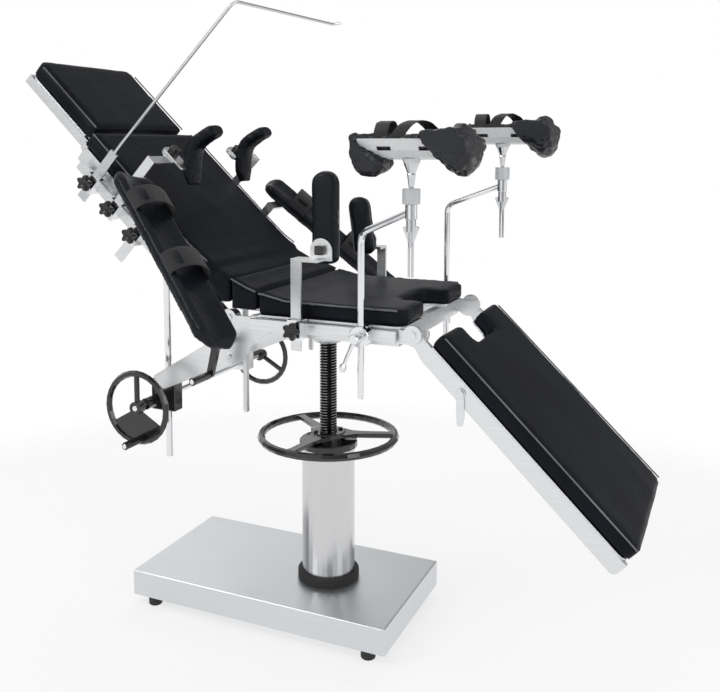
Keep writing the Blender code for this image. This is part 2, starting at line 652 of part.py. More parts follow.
head_pad = pad_solid(
    [(-0.6755, 0.0091), (-0.978, 0.0091), (-0.978, 0.059), (-0.6755, 0.059)], 0.2145,
    fillet([(-0.6755, -0.2145), (-0.6755, 0.2145), (-0.978, 0.2145), (-0.978, -0.2145)],
           [0.0, 0.0, 0.035, 0.035], 4), 0.004)
head_pad.data.transform(Matrix.Translation((-HX, 0.0, -HZ)))
node("head_pad", head_pad, UPHOLSTERY, head_hinge)

# Leg section, in its own frame: x runs from the hinge toward the foot
leg_parts = [prism(notched(0.700, 0.052, 0.2440, 0.102, -0.058, 0.004, 0.028), 0.0112, 0.0160, "Z")]
for side in (-1.0, 1.0):
    leg_parts += [
        prism(fillet([(0.0, 0.0125), (0.0, -0.014), (0.060, -0.030), (0.706, -0.030), (0.706, 0.0125)],
                     [0.0, 0.0, 0.03, 0.012, 0.0], 3), side * 0.2305, side * 0.2450, "Y"),
        rod("Y", (0.0, 0.0), 0.021, side * 0.2300, side * 0.2455, 20),
        rod("Y", (0.1788, -0.0086), 0.0050, side * 0.2430, side * 0.2530, 12),
        rod("Y", (0.1788, -0.0086), 0.0095, side * 0.2512, side * 0.2560, 6),
    ]
for x in (0.135, 0.420, 0.688):
    leg_parts.append(block((x - 0.012, x + 0.012), (-0.2315, 0.2315), (-0.022, 0.0118)))
leg = fuse(*leg_parts)
cut(leg, rod("Y", (0.0, 0.0), 0.0083, -0.26, -0.21, 20), rod("Y", (0.0, 0.0), 0.0083, 0.21, 0.26, 20))
node("leg_frame", leg, BRUSHED, leg_hinge)

node("leg_pad", pad_solid(
    [(0.045, 0.0163), (0.707, 0.0163), (0.707, 0.059), (0.045, 0.059)], 0.2485,
    notched(0.707, 0.045, 0.2485, 0.100, -0.062, 0.008, 0.022), 0.004), UPHOLSTERY, leg_hinge)

# Latch paddles that hang from the leg arms
for name, side in (("leg_latch_near", -1.0), ("leg_latch_far", 1.0)):
    outline = fillet([(-0.0085, 0.0), (-0.0100, -0.035), (-0.0075, -0.081), (0.0060, -0.081),
                      (0.0100, -0.060), (0.0100, -0.035), (0.0085, 0.0)],
                     [0.0, 0.01, 0.004, 0.006, 0.006, 0.01, 0.0], 2)
    paddle = fuse(
        prism(outline, side * 0.2458, side * 0.2508, "Y"),
        rod("Y", (0.0, 0.0), 0.0115, side * 0.2460, side * 0.2506, 20))
    cut(paddle, rod("Y", (0.0, 0.0), 0.0053, side * 0.24, side * 0.26, 12))
    turned(paddle, "Y", -LEG_TILT)
    paddle.data.transform(Matrix.Translation((0.1788, 0.0, -0.0086)))
    node(name, paddle, BRUSHED, leg_hinge, (0.1788, side * 0.2483, -0.0086))


# Accessories hang on the side rails. Each one has a clamp that hooks round the rail and holds a
# flat bar or a round post; a is its station along the rail and w the height of the rail centre.
CLAMP_HOOK = [
    (0.300, -0.026), (0.300, 0.026), (0.258, 0.026), (0.258, 0.010), (0.2617, 0.010), (0.2617, 0.0143),
    (0.2723, 0.0143), (0.2723, -0.0143), (0.2617, -0.0143), (0.2617, -0.010), (0.258, -0.010),
    (0.258, -0.026),
]


def star_outline(a, w, radius=0.0212, lobes=5):
    """Lobed outline of a clamping knob."""
    points = []
    for k in range(lobes * 4):
        angle = 2.0 * math.pi * k / (lobes * 4)
        r = radius + 0.0022 * math.cos(lobes * angle)
        points.append((a + r * math.cos(angle), w + r * math.sin(angle)))
    return points


def star_knob(a, side, w, neck=0.3003):
    """Lobed knob on a short neck."""
    return fuse(
        prism(star_outline(a, w), side * 0.3060, side * 0.3250, "Y", 0.0025),
        rod("Y", (a, w), 0.0090, side * neck, side * 0.3080, 12))


def bar_clamp(a, side, w):
    """Clamp block for a flat bar; on the far side its knob is part of it."""
    body = prism([(side * o, w + q) for o, q in CLAMP_HOOK], a - 0.018, a + 0.018, "X")
    if side > 0.0:
        body = fuse(body, star_knob(a, side, w, 0.2950))
    slot = block((a - 0.0143, a + 0.0143), (side * 0.2782, side * 0.2868), (w - 0.03, w + 0.03))
    if side > 0.0:
        return cut(body, slot)
    return cut(body, slot, rod("Y", (a, w), 0.0053, side * 0.284, side * 0.31, 12))


def clamp_screw(a, side, w):
    """Separate knob of a near clamp, with the stem that presses on the bar."""
    return fuse(star_knob(a, side, w), rod("Y", (a, w), 0.0048, side * 0.2870, side * 0.3030, 12))


def flat_bar(a, side, low, high):
    """Upright flat bar held in a clamp."""
    return block((a - 0.014, a + 0.014), (side * BAR_IN, side * BAR_OUT), (low, high))


def arch(half, low, rise, x0, x1, thick=0.003, centre=0.0):
    """Strap arching over a support, across Y."""
    top = []
    for k in range(7):
        angle = math.pi * k / 6.0
        top.append((math.cos(angle), math.sin(angle)))
    outline = [(centre + half * c, low + rise * q) for c, q in top]
    outline += [(centre + (half - thick) * c, low + (rise - thick) * q) for c, q in reversed(top)]
    return prism(outline, x0, x1, "X")


RAIL_H = -0.030
RAIL_Z = 0.889

# Screen frame: a bent rod on a flat bar, near side only
a = -SCREEN_S
node("screen_clamp", bar_clamp(a, -1.0, RAIL_H), POLISHED, back_hinge, (a, -0.267, RAIL_H))
node("screen_knob", clamp_screw(a, -1.0, RAIL_H), BLACK_KNOB, back_hinge, (a, -0.300, RAIL_H))
frame_path = bend([
    (a, -0.2825, 0.060), (a, -0.2825, 0.120), (-0.531, -0.2825, 0.630), (-0.5392, 0.310, 0.6387),
    (-0.5300, 0.330, 0.6560)], 0.022, 4)
node("screen_rod", fuse(
    flat_bar(a, -1.0, -0.090, 0.085),
    sweep(frame_path, circle(0.0045, 10), (1.0, 0.0, 0.0))), POLISHED, back_hinge, (a, -0.2825, RAIL_H))

# Shoulder rests: a flat bar with a tongue reaching over the mattress, and a curved pad that
# swivels on the tongue
SHOULDER_X = -0.464
SHOULDER_PATH = [(-0.364, 0.128), (-0.410, 0.170), (-0.439, 0.218), (-0.427, 0.271), (-0.410, 0.308)]
for tag, side in (("near", -1.0), ("far", 1.0)):
    a = -SHOULDER_S
    node("shoulder_clamp_" + tag, bar_clamp(a, side, RAIL_H), POLISHED, back_hinge,
         (a, side * 0.267, RAIL_H))
    tongue = fuse(
        flat_bar(a, side, -0.065, 0.1583),
        block((a - 0.0135, a + 0.0135), (side * 0.168, side * 0.2850), (0.1502, 0.1560)),
        rod("Z", (SHOULDER_X, side * 0.170), 0.030, 0.1500, 0.1562, 20))
    cut(tongue, rod("Z", (SHOULDER_X, side * 0.170), 0.0063, 0.14, 0.17, 12))
    node("shoulder_bar_" + tag, tongue, BRUSHED, back_hinge, (a, side * 0.2825, RAIL_H))
    path = bend([(x, side * 0.140, h) for x, h in SHOULDER_PATH], 0.045, 2)
    section = [(0.035 * math.copysign(abs(math.cos(t)) ** 0.6, math.cos(t)),
                0.017 * math.copysign(abs(math.sin(t)) ** 0.6, math.sin(t)))
               for t in (2.0 * math.pi * (k + 0.5) / 10.0 for k in range(10))]
    scales = [1.0] * len(path)
    scales[0] = 0.80
    scales[-1] = 0.70
    pad = fuse(
        sweep(path, section, (0.0, 1.0, 0.0), scales),
        block((-0.490, -0.400), (side * 0.150, side * 0.192), (0.1566, 0.1620)),
        rod("Z", (SHOULDER_X, side * 0.170), 0.0058, 0.1440, 0.1600, 12),
        rod("Z", (SHOULDER_X, side * 0.170), 0.0130, 0.1610, 0.1840, 12, 0.002),
        rod("Z", (SHOULDER_X, side * 0.170), 0.0105, 0.1405, 0.1450, 6))
    node("shoulder_pad_" + tag, pad, UPHOLSTERY, back_hinge, (SHOULDER_X, side * 0.170, 0.1566))
node("shoulder_knob_near", clamp_screw(-SHOULDER_S, -1.0, RAIL_H), BLACK_KNOB, back_hinge,
     (-SHOULDER_S, -0.300, RAIL_H))

# Arm boards: a bracket reaching outward from the rail, and a trough board turning on its pin
for tag, side, station, reach, top, swing in (
        ("near", -1.0, ARM_S[0], 0.394, 0.138, -19.5), ("far", 1.0, ARM_S[1], 0.385, 0.115, 18.0)):
    a = -station
    under = top - 0.034
    node("arm_clamp_" + tag, bar_clamp(a, side, RAIL_H), POLISHED, back_hinge, (a, side * 0.267, RAIL_H))
    bracket = fuse(
        flat_bar(a, side, -0.124, under - GAP),
        block((a - 0.0135, a + 0.0135), (side * 0.2795, side * reach), (under - 0.0083, under - GAP - 0.0002)),
        rod("Z", (a, side * reach), 0.020, under - 0.0090, under - GAP - 0.0001, 16),
        rod("Z", (a, side * reach), 0.0062, under - 0.0020, under + 0.0190, 12))
    node("arm_bracket_" + tag, bracket, BRUSHED, back_hinge, (a, side * 0.2825, RAIL_H))
    plan = fillet([(-0.097, -0.065), (0.465, -0.065), (0.503, -0.030), (0.503, 0.030), (0.465, 0.065),
                   (-0.097, 0.065)], [0.048, 0.01, 0.01, 0.01, 0.01, 0.048], 4)
    gutter = [(0.048 * k / 3.0, 0.034 + 0.1100 - math.sqrt(0.1200 ** 2 - (0.048 * k / 3.0) ** 2))
              for k in range(-3, 4)]
    gutter = [(-0.060, 0.050)] + [(v, w) for v, w in gutter] + [(0.060, 0.050)]
    board = prism(plan, 0.0, 0.034, "Z", 0.003, 1)
    cut(board, prism(gutter, -0.12, 0.52, "X"), rod("Z", (0.0, 0.0), 0.0066, -0.01, 0.0196, 12))
    board = fuse(board, arch(0.0600, 0.0290, 0.043, 0.018, 0.066), arch(0.0600, 0.0290, 0.043, 0.238, 0.286))
    turned(board, "Z", math.radians(swing))
    board.data.transform(Matrix.Translation((a, side * reach, under)))
    node("arm_board_" + tag, board, UPHOLSTERY, back_hinge, (a, side * reach, under))
node("arm_knob_near", clamp_screw(-ARM_S[0], -1.0, RAIL_H), BLACK_KNOB, back_hinge,
     (-ARM_S[0], -0.300, RAIL_H))

# Side supports: an upright bar bent inward to a half-round plate, and a pad that turns on it
for tag, side, low, top, px, pz, pad_low, pad_high, half, lean in (
        ("near", -1.0, 0.834, 1.070, 0.095, 1.090, 1.050, 1.290, 0.0375, 0.0),
        ("far", 1.0, 0.834, 1.046, 0.018, 1.066, 1.022, 1.200, 0.0350, -8.0)):
    a = SIDE_X[0] if side < 0.0 else SIDE_X[1]
    node("side_clamp_" + tag, bar_clamp(a, side, RAIL_Z), POLISHED, None, (a, side * 0.267, RAIL_Z))
    x0 = min(a - 0.0135, px - 0.030)
    x1 = max(a + 0.0135, px + 0.010)
    post = fuse(
        flat_bar(a, side, low, top),
        block((x0, x1), (side * 0.2410, side * 0.2860), (top - 0.0078, top - 0.0002)),
        block((px - 0.0298, px + 0.0298), (side * 0.2407, side * 0.2445), (top - 0.0075, pz)),
        rod("Y", (px, pz), 0.030, side * 0.2405, side * 0.2447, 20))
    cut(post, rod("Y", (px, pz), 0.0063, side * 0.23, side * 0.26, 12))
    node("side_post_" + tag, post, BRUSHED, None, (a, side * 0.2825, RAIL_Z))
    face = fillet([(px - half, pad_low), (px + half, pad_low), (px + half, pad_high), (px - half, pad_high)],
                  [0.022, 0.022, half - 0.001, half - 0.001], 4)
    pad = prism(face, side * 0.2000, side * 0.2345, "Y", 0.009, 1)
    pad = fuse(
        pad,
        rod("Y", (px, pz), 0.0120, side * 0.2320, side * 0.2402, 12),
        rod("Y", (px, pz), 0.0058, side * 0.2380, side * 0.2500, 12),
        rod("Y", (px, pz), 0.0130, side * 0.2450, side * 0.2600, 12, 0.002))
    turned(pad, "Y", math.radians(lean), (px, 0.0, pz))
    node("side_pad_" + tag, pad, UPHOLSTERY, None, (px, side * 0.2402, pz))
node("side_knob_near", clamp_screw(SIDE_X[0], -1.0, RAIL_Z), BLACK_KNOB, None, (SIDE_X[0], -0.300, RAIL_Z))

# Leg holders: a round post with an arm, a knee trough on a stem that turns in the arm's sleeve
POST_R = 0.00825
POST_STAND = 0.015
POST_O = RAIL_OUT + POST_STAND
for tag, side, x, foot, rise, turn in (
        ("near", -1.0, LEG_X[0], 0.735, 1.130, -23.0), ("far", 1.0, LEG_X[1], 0.760, 1.164, 0.0)):
    hook = [(o if o < 0.29 else POST_O - 0.004, q) for o, q in CLAMP_HOOK]
    body = fuse(
        rod("Y", (x, RAIL_Z), 0.0262, side * (RAIL_OUT + 0.0004), side * (POST_O + 0.016), 20, 0.0015),
        prism([(side * o, RAIL_Z + q * 0.92 if abs(q) > 0.02 else RAIL_Z + q) for o, q in hook],
              x - 0.0155, x + 0.0155, "X"))
    if side > 0.0:
        body = fuse(
            body,
            rod("Y", (x, RAIL_Z), 0.0110, side * (POST_O + 0.015), side * (POST_O + 0.035), 12, 0.001),
            rod("Z", (x, side * (POST_O + 0.028)), 0.0048, RAIL_Z - 0.075, RAIL_Z, 10))
    cut(body, rod("Z", (x, side * POST_O), 0.0087, RAIL_Z - 0.04, RAIL_Z + 0.04, 12))
    if side < 0.0:
        cut(body, rod("Y", (x, RAIL_Z), 0.0062, side * (POST_O + 0.003), side * (POST_O + 0.023), 12))
    node("leg_clamp_" + tag, body, POLISHED, None, (x, side * 0.267, RAIL_Z))

    c = math.cos(math.radians(turn))
    q = math.sin(math.radians(turn))
    sx = x + 0.165 * c
    sy = side * POST_O + 0.165 * q
    sz = rise + 0.071
    path = bend([(x, side * POST_O, foot), (x, side * POST_O, rise + 0.012),
                 (sx - 0.0100 * c, sy - 0.0100 * q, sz)], 0.032, 4)
    post = fuse(
        sweep(path, circle(POST_R, 12), (1.0, 0.2, 0.0)),
        rod("Z", (sx, sy), 0.0138, sz - 0.0150, sz + 0.0195, 16, 0.001),
        rod("Z", (x, side * POST_O), 0.0066, foot - 0.004, foot + 0.002, 12))
    cut(post, rod("Z", (sx, sy), 0.0064, sz - 0.03, sz + 0.03, 12))
    node("leg_post_" + tag, post, POLISHED, None, (x, side * POST_O, RAIL_Z))

    low = sz - 1.201
    deck = low + 1.322
    core = deck + 0.07626
    section = []
    for k in range(7):
        angle = math.radians(-66.6 + 22.2 * k)
        section.append((sy + 0.07626 * math.sin(angle), core - 0.07626 * math.cos(angle)))
    for k in range(6, -1, -1):
        angle = math.radians(-66.6 + 22.2 * k)
        section.append((sy + 0.0723 * math.sin(angle), core - 0.0723 * math.cos(angle)))
    shell = prism(section, sx - 0.130, sx + 0.140, "X")
    side_view = fillet([(sx - 0.132, core), (sx - 0.132, deck + 0.024), (sx - 0.060, deck - 0.004),
                        (sx + 0.070, deck - 0.004), (sx + 0.142, deck + 0.028), (sx + 0.142, core)],
                       [0.0, 0.010, 0.030, 0.030, 0.010, 0.0], 4)
    combine(shell, [prism(side_view, sy - 0.09, sy + 0.09, "Y")], "INTERSECT")
    cut(
        shell,
        block((sx - 0.078, sx - 0.036), (sy - 0.1, sy + 0.1), (deck + 0.0210, deck + 0.0300)),
        block((sx + 0.044, sx + 0.086), (sy - 0.1, sy + 0.1), (deck + 0.0210, deck + 0.0300)))
    wing = fillet([(sx - 0.0200, sz - 0.0330), (sx - 0.0060, sz - 0.0690), (sx + 0.0060, sz - 0.0690),
                   (sx + 0.0200, sz - 0.0330), (sx + 0.0110, sz - 0.0300), (sx - 0.0110, sz - 0.0300)],
                  0.002, 2)
    trough = fuse(
        shell,
        lathe("Z", (sx, sy), [
            (0.0, sz - 0.080), (0.0058, sz - 0.080), (0.0058, sz + 0.0210), (0.0058, sz + 0.0560),
            (0.0100, sz + 0.0870), (0.0092, sz + 0.0900), (0.0230, deck + 0.0030), (0.0, deck + 0.0030)],
            12),
        rod("Z", (sx, sy), 0.0208, sz + 0.0200, sz + 0.0550, 16),
        rod("Z", (sx, sy), 0.0115, sz - 0.0440, sz - 0.0155, 12),
        prism(wing, sy - 0.0035, sy + 0.0035, "Y"),
        rod("Z", (sx - 0.0042, sy), 0.0030, sz - 0.1490, sz - 0.0660, 8),
        rod("Z", (sx + 0.0042, sy), 0.0030, sz - 0.1490, sz - 0.0660, 8))
    node("leg_trough_" + tag, trough, WHITE_SHELL, None, (sx, sy, sz))

    lining = []
    for k in range(7):
        angle = math.radians(-66.6 + 22.2 * k)
        lining.append((0.0714 * math.sin(angle), -0.0714 * math.cos(angle)))
    for k in range(6, -1, -1):
        angle = math.radians(-66.6 + 22.2 * k)
        lining.append((0.0500 * math.sin(angle), -0.0500 * math.cos(angle)))
    droop = [(-0.160, -0.044), (-0.153, -0.026), (-0.1440, -0.011), (-0.1320, 0.0), (0.1420, 0.0),
             (0.160, -0.006), (0.178, -0.015), (0.190, -0.024)]
    cushion = fuse(
        loft([[(sx + dx, sy + v, core + dz + w) for v, w in lining] for dx, dz in droop]),
        arch(0.0600, core - 0.0330, 0.046, sx - 0.074, sx - 0.040, 0.003, sy),
        arch(0.0600, core - 0.0330, 0.046, sx + 0.048, sx + 0.082, 0.003, sy))
    node("leg_trough_pad_" + tag, cushion, UPHOLSTERY, None, (sx, sy, core))
x = LEG_X[0]
lever = fuse(
    rod("Y", (x, RAIL_Z), 0.0056, -POST_O - 0.0088, -POST_O - 0.043, 12),
    rod("Y", (x, RAIL_Z), 0.0125, -POST_O - 0.0164, -POST_O - 0.049, 12, 0.0015),
    sweep([(x, -POST_O - 0.038, RAIL_Z), (x - 0.030, -POST_O - 0.041, RAIL_Z - 0.072)],
          circle(0.0050, 10)),
    lathe("Z", (x - 0.030, -POST_O - 0.041), [
        (0.0, RAIL_Z - 0.084), (0.0060, RAIL_Z - 0.084), (0.0090, RAIL_Z - 0.078), (0.0090, RAIL_Z - 0.070),
        (0.0060, RAIL_Z - 0.064), (0.0, RAIL_Z - 0.064)], 12))
node("leg_lever_near", lever, POLISHED, None, (x, -POST_O - 0.0164, RAIL_Z))

bpy.context.view_layer.update()
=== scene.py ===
"""Looks of the operating table: lights, camera, materials and the soft pieces around the frame."""

import math

import bmesh
import bpy
import numpy as np
from mathutils import Matrix, Vector, noise


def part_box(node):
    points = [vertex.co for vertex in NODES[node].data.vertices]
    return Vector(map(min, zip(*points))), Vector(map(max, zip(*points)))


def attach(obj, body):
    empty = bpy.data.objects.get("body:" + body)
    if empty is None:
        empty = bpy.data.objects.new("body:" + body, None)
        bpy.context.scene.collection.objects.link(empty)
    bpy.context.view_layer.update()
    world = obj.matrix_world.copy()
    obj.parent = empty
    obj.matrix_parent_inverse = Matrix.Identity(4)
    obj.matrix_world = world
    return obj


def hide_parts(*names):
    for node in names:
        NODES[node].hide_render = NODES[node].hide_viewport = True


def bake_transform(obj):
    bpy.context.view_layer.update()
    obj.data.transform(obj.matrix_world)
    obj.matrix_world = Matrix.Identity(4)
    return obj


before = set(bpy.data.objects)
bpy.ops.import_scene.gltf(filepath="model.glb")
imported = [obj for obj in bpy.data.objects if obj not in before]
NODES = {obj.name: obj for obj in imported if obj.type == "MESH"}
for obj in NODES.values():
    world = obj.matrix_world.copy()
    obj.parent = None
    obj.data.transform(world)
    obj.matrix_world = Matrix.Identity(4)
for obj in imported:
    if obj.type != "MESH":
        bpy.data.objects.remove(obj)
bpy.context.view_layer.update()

# Frames that turn with the back and leg sections, each with its origin on the section's hinge
BACK_HINGE = (-0.175, 0.0, 0.895)
BACK_TILT = math.radians(43.3)
LEG_HINGE = (0.345, 0.0, 0.894)
LEG_TILT = math.radians(44.3)
BACK = Matrix.Translation(BACK_HINGE) @ Matrix.Rotation(BACK_TILT, 4, "Y")
LEG = Matrix.Translation(LEG_HINGE) @ Matrix.Rotation(LEG_TILT, 4, "Y")
UPRIGHT = Matrix.Identity(4)
SIDES = (("near", -1.0), ("far", 1.0))


# Material helpers
def material(name):
    """New node material; returns it with its tree, shader and object coordinates."""
    made = bpy.data.materials.new(name)
    made.use_nodes = True
    tree = made.node_tree
    shader = tree.nodes["Principled BSDF"]
    where = tree.nodes.new("ShaderNodeTexCoord")
    return made, tree, shader, where.outputs["Object"]


def stretched(tree, where, scale):
    """Coordinates scaled differently along each axis."""
    step = tree.nodes.new("ShaderNodeMapping")
    step.inputs["Scale"].default_value = scale
    tree.links.new(where, step.inputs["Vector"])
    return step.outputs["Vector"]


def noise_of(tree, where, scale, detail=3.0, rough=0.5):
    """Noise value at the given coordinates."""
    step = tree.nodes.new("ShaderNodeTexNoise")
    step.inputs["Scale"].default_value = scale
    step.inputs["Detail"].default_value = detail
    step.inputs["Roughness"].default_value = rough
    tree.links.new(where, step.inputs["Vector"])
    return step.outputs["Fac"]


def cells(tree, where, scale):
    """Distance to the nearest point of a cell texture."""
    step = tree.nodes.new("ShaderNodeTexVoronoi")
    step.feature = "F1"
    step.inputs["Scale"].default_value = scale
    tree.links.new(where, step.inputs["Vector"])
    return step.outputs["Distance"]


def ranged(tree, value, low, high, to_low, to_high):
    """Value mapped from one range to another."""
    step = tree.nodes.new("ShaderNodeMapRange")
    for key, number in (("From Min", low), ("From Max", high), ("To Min", to_low), ("To Max", to_high)):
        step.inputs[key].default_value = number
    tree.links.new(value, step.inputs["Value"])
    return step.outputs["Result"]


def ramp(tree, value, stops):
    """Colour ramp through (position, colour) stops."""
    step = tree.nodes.new("ShaderNodeValToRGB")
    band = step.color_ramp
    while len(band.elements) < len(stops):
        band.elements.new(0.5)
    for element, (at, colour) in zip(band.elements, stops):
        element.position = at
        element.color = (*colour, 1.0)
    tree.links.new(value, step.inputs["Fac"])
    return step.outputs["Color"]


def relief(tree, shader, layers, edge=0.0):
    """Stack of bumps, each (height value, depth in metres); an edge radius softens corners."""
    normal = None
    if edge > 0.0:
        soft = tree.nodes.new("ShaderNodeBevel")
        soft.samples = 4
        soft.inputs["Radius"].default_value = edge
        normal = soft.outputs["Normal"]
    for height, depth in layers:
        step = tree.nodes.new("ShaderNodeBump")
        step.inputs["Strength"].default_value = 1.0
        step.inputs["Distance"].default_value = depth
        tree.links.new(height, step.inputs["Height"])
        if normal is not None:
            tree.links.new(normal, step.inputs["Normal"])
        normal = step.outputs["Normal"]
    if normal is not None:
        tree.links.new(normal, shader.inputs["Normal"])


def maths(tree, operation, a, b):
    """Two-input sum, product and so on; inputs are sockets or numbers."""
    step = tree.nodes.new("ShaderNodeMath")
    step.operation = operation
    for slot, item in zip(step.inputs, (a, b)):
        if isinstance(item, (int, float)):
            slot.default_value = item
        else:
            tree.links.new(item, slot)
    return step.outputs["Value"]


def mixed(tree, factor, a, b):
    """Mix of two colour sockets."""
    step = tree.nodes.new("ShaderNodeMix")
    step.data_type = "RGBA"
    tree.links.new(factor, step.inputs["Factor"])
    tree.links.new(a, step.inputs[6])
    tree.links.new(b, step.inputs[7])
    return step.outputs[2]


def tones(colour, dark, light):
    """Darker and lighter shade of a colour, kept below white."""
    return tuple(c * dark for c in colour), tuple(min(1.0, c * light) for c in colour)


def metal(name, colour, rough, grain=(260.0, 2.0, 260.0), depth=0.00003, edge=0.0008, spread=0.10):
    """Satin or brushed metal with fine lines, faint smudges and softened edges."""
    made, tree, shader, where = material(name)
    lines = noise_of(tree, stretched(tree, where, grain), 4.0, 3.0, 0.6)
    smudge = noise_of(tree, where, 9.0, 3.0, 0.6)
    low, high = tones(colour, 1.0 - spread, 1.0 + spread * 0.6)
    tree.links.new(ramp(tree, lines, [(0.30, low), (0.70, high)]), shader.inputs["Base Color"])
    shader.inputs["Metallic"].default_value = 1.0
    rub = maths(tree, "ADD", maths(tree, "MULTIPLY", lines, 0.12), maths(tree, "MULTIPLY", smudge, 0.10))
    tree.links.new(maths(tree, "ADD", rub, rough - 0.10), shader.inputs["Roughness"])
    relief(tree, shader, [(lines, depth)], edge)
    return made


def leather(name, fold, fold_scale, colour=(0.0056, 0.0066, 0.0098), rough=0.42, coat=0.03, shine=0.075):
    """Black synthetic leather: pebble grain, soft creases `fold` metres deep, patchy gloss."""
    made, tree, shader, where = material(name)
    grain = cells(tree, where, 900.0)
    fine = noise_of(tree, where, 2400.0, 2.0)
    crease = noise_of(tree, stretched(tree, where, (1.0, 1.6, 1.0)), fold_scale, 4.0, 0.55)
    patch = noise_of(tree, where, 6.0, 3.0)
    low, high = tones(colour, 0.75, 1.7)
    tree.links.new(ramp(tree, patch, [(0.3, low), (0.7, high)]), shader.inputs["Base Color"])
    gloss = maths(tree, "ADD", maths(tree, "MULTIPLY", grain, 0.10), maths(tree, "MULTIPLY", patch, 0.16))
    tree.links.new(maths(tree, "ADD", gloss, rough - 0.12), shader.inputs["Roughness"])
    shader.inputs["Specular IOR Level"].default_value = shine
    shader.inputs["Coat Weight"].default_value = coat
    shader.inputs["Coat Roughness"].default_value = 0.20
    relief(tree, shader, [(crease, fold), (grain, 0.00007), (fine, 0.00002)])
    return made


def plastic(name, colour, rough, grain, coat=0.0):
    """Moulded plastic or rubber with a faint orange peel, `grain` metres deep."""
    made, tree, shader, where = material(name)
    peel = noise_of(tree, where, 700.0, 3.0)
    dust = noise_of(tree, where, 14.0, 4.0, 0.6)
    low, high = tones(colour, 0.88, 1.08)
    tree.links.new(ramp(tree, dust, [(0.35, low), (0.68, high)]), shader.inputs["Base Color"])
    tree.links.new(ranged(tree, dust, 0.2, 0.8, rough * 0.8, rough * 1.25), shader.inputs["Roughness"])
    shader.inputs["Coat Weight"].default_value = coat
    shader.inputs["Coat Roughness"].default_value = 0.08
    relief(tree, shader, [(peel, grain)], 0.0006)
    return made


def webbing(name, colour):
    """Woven strap: crossing ribs with a dull face."""
    made, tree, shader, where = material(name)
    ribs = []
    for direction in ("Y", "X"):
        wave = tree.nodes.new("ShaderNodeTexWave")
        wave.bands_direction = direction
        wave.inputs["Scale"].default_value = 190.0
        tree.links.new(where, wave.inputs["Vector"])
        ribs.append(wave.outputs["Fac"])
    weave = maths(tree, "MULTIPLY", *ribs)
    patch = noise_of(tree, where, 25.0)
    low, high = tones(colour, 0.7, 2.2)
    tint = maths(tree, "MULTIPLY", maths(tree, "ADD", weave, patch), 0.5)
    tree.links.new(ramp(tree, tint, [(0.15, low), (0.75, high)]), shader.inputs["Base Color"])
    tree.links.new(ranged(tree, weave, 0.0, 1.0, 0.75, 0.55), shader.inputs["Roughness"])
    shader.inputs["Sheen Weight"].default_value = 0.15
    relief(tree, shader, [(weave, 0.0004)])
    return made


STEEL = metal("satin_steel", (0.66, 0.67, 0.68), 0.30, (2.0, 260.0, 260.0))
FRAME = metal("light_frame_metal", (0.78, 0.79, 0.80), 0.34, (3.0, 200.0, 200.0), 0.00002)
CHROME = metal("chrome", (0.80, 0.81, 0.83), 0.13, (90.0, 90.0, 90.0), 0.000004, 0.0006, 0.05)
COLUMN = metal("brushed_column", (0.66, 0.66, 0.67), 0.24, (1.5, 1.5, 520.0), 0.000006, 0.0006, 0.05)
BASE = metal("brushed_base", (0.71, 0.73, 0.75), 0.38, (1.2, 420.0, 420.0), 0.00002, 0.0012, 0.06)
ZINC = metal("zinc", (0.56, 0.57, 0.58), 0.33, (80.0, 80.0, 80.0), 0.00002, 0.0006)
BAKELITE = plastic("gloss_black", (0.012, 0.012, 0.013), 0.16, 0.00001, 0.35)
KNOB = plastic("knob_black", (0.014, 0.014, 0.015), 0.34, 0.00003)
RUBBER = plastic("black_rubber", (0.018, 0.018, 0.018), 0.62, 0.00006)
MATTRESS = leather("mattress_leather", fold=0.0004, fold_scale=5.0)
SMALL_PAD = leather("pad_leather", rough=0.36, fold=0.0004, fold_scale=22.0, coat=0.08, shine=0.14)
CRINKLED = leather("crinkled_leather", rough=0.32, fold=0.0012, fold_scale=30.0, coat=0.25, shine=0.30)
# Cords of the piping and seams, coloured light bluish grey as a painted highlight along the rolled edges
PAINTED_HIGHLIGHT_CORD = leather("cord_leather_painted_highlight", colour=(0.105, 0.110, 0.118), rough=0.34, fold=0.0004, fold_scale=80.0,
                 coat=0.20, shine=0.30)
STRAP = webbing("strap_webbing", (0.0062, 0.0070, 0.0085))

# The screw's thread, shared by its metal and its shape
THREAD_ROOT = 0.0212
THREAD_DEPTH = 0.0036


def thread_metal():
    """Steel, nearly black in the roots of the thread and bright on its crests, with patchy oil."""
    made, tree, shader, where = material("dark_thread_steel")
    flat = stretched(tree, where, (1.0, 1.0, 0.0))
    reach = tree.nodes.new("ShaderNodeVectorMath")
    reach.operation = "LENGTH"
    tree.links.new(flat, reach.inputs[0])
    root_to_crest = ranged(tree, reach.outputs["Value"], THREAD_ROOT + 0.0006, THREAD_ROOT + THREAD_DEPTH - 0.0002,
                  0.0, 1.0)
    oil = noise_of(tree, where, 40.0, 4.0)
    tint = maths(tree, "ADD", root_to_crest, maths(tree, "MULTIPLY", maths(tree, "SUBTRACT", oil, 0.5), 0.5))
    stops = [(0.0, (0.012, 0.012, 0.012)), (0.55, (0.07, 0.068, 0.065)), (1.0, (0.34, 0.33, 0.32))]
    tree.links.new(ramp(tree, tint, stops), shader.inputs["Base Color"])
    shader.inputs["Metallic"].default_value = 1.0
    tree.links.new(ranged(tree, tint, 0.0, 1.0, 0.55, 0.28), shader.inputs["Roughness"])
    return made


DARK_STEEL = thread_metal()


def either(tree, choice, first, second):
    """First value where the choice is 0, second where it is 1."""
    kept = maths(tree, "MULTIPLY", maths(tree, "SUBTRACT", 1.0, choice), first)
    return maths(tree, "ADD", kept, maths(tree, "MULTIPLY", choice, second))


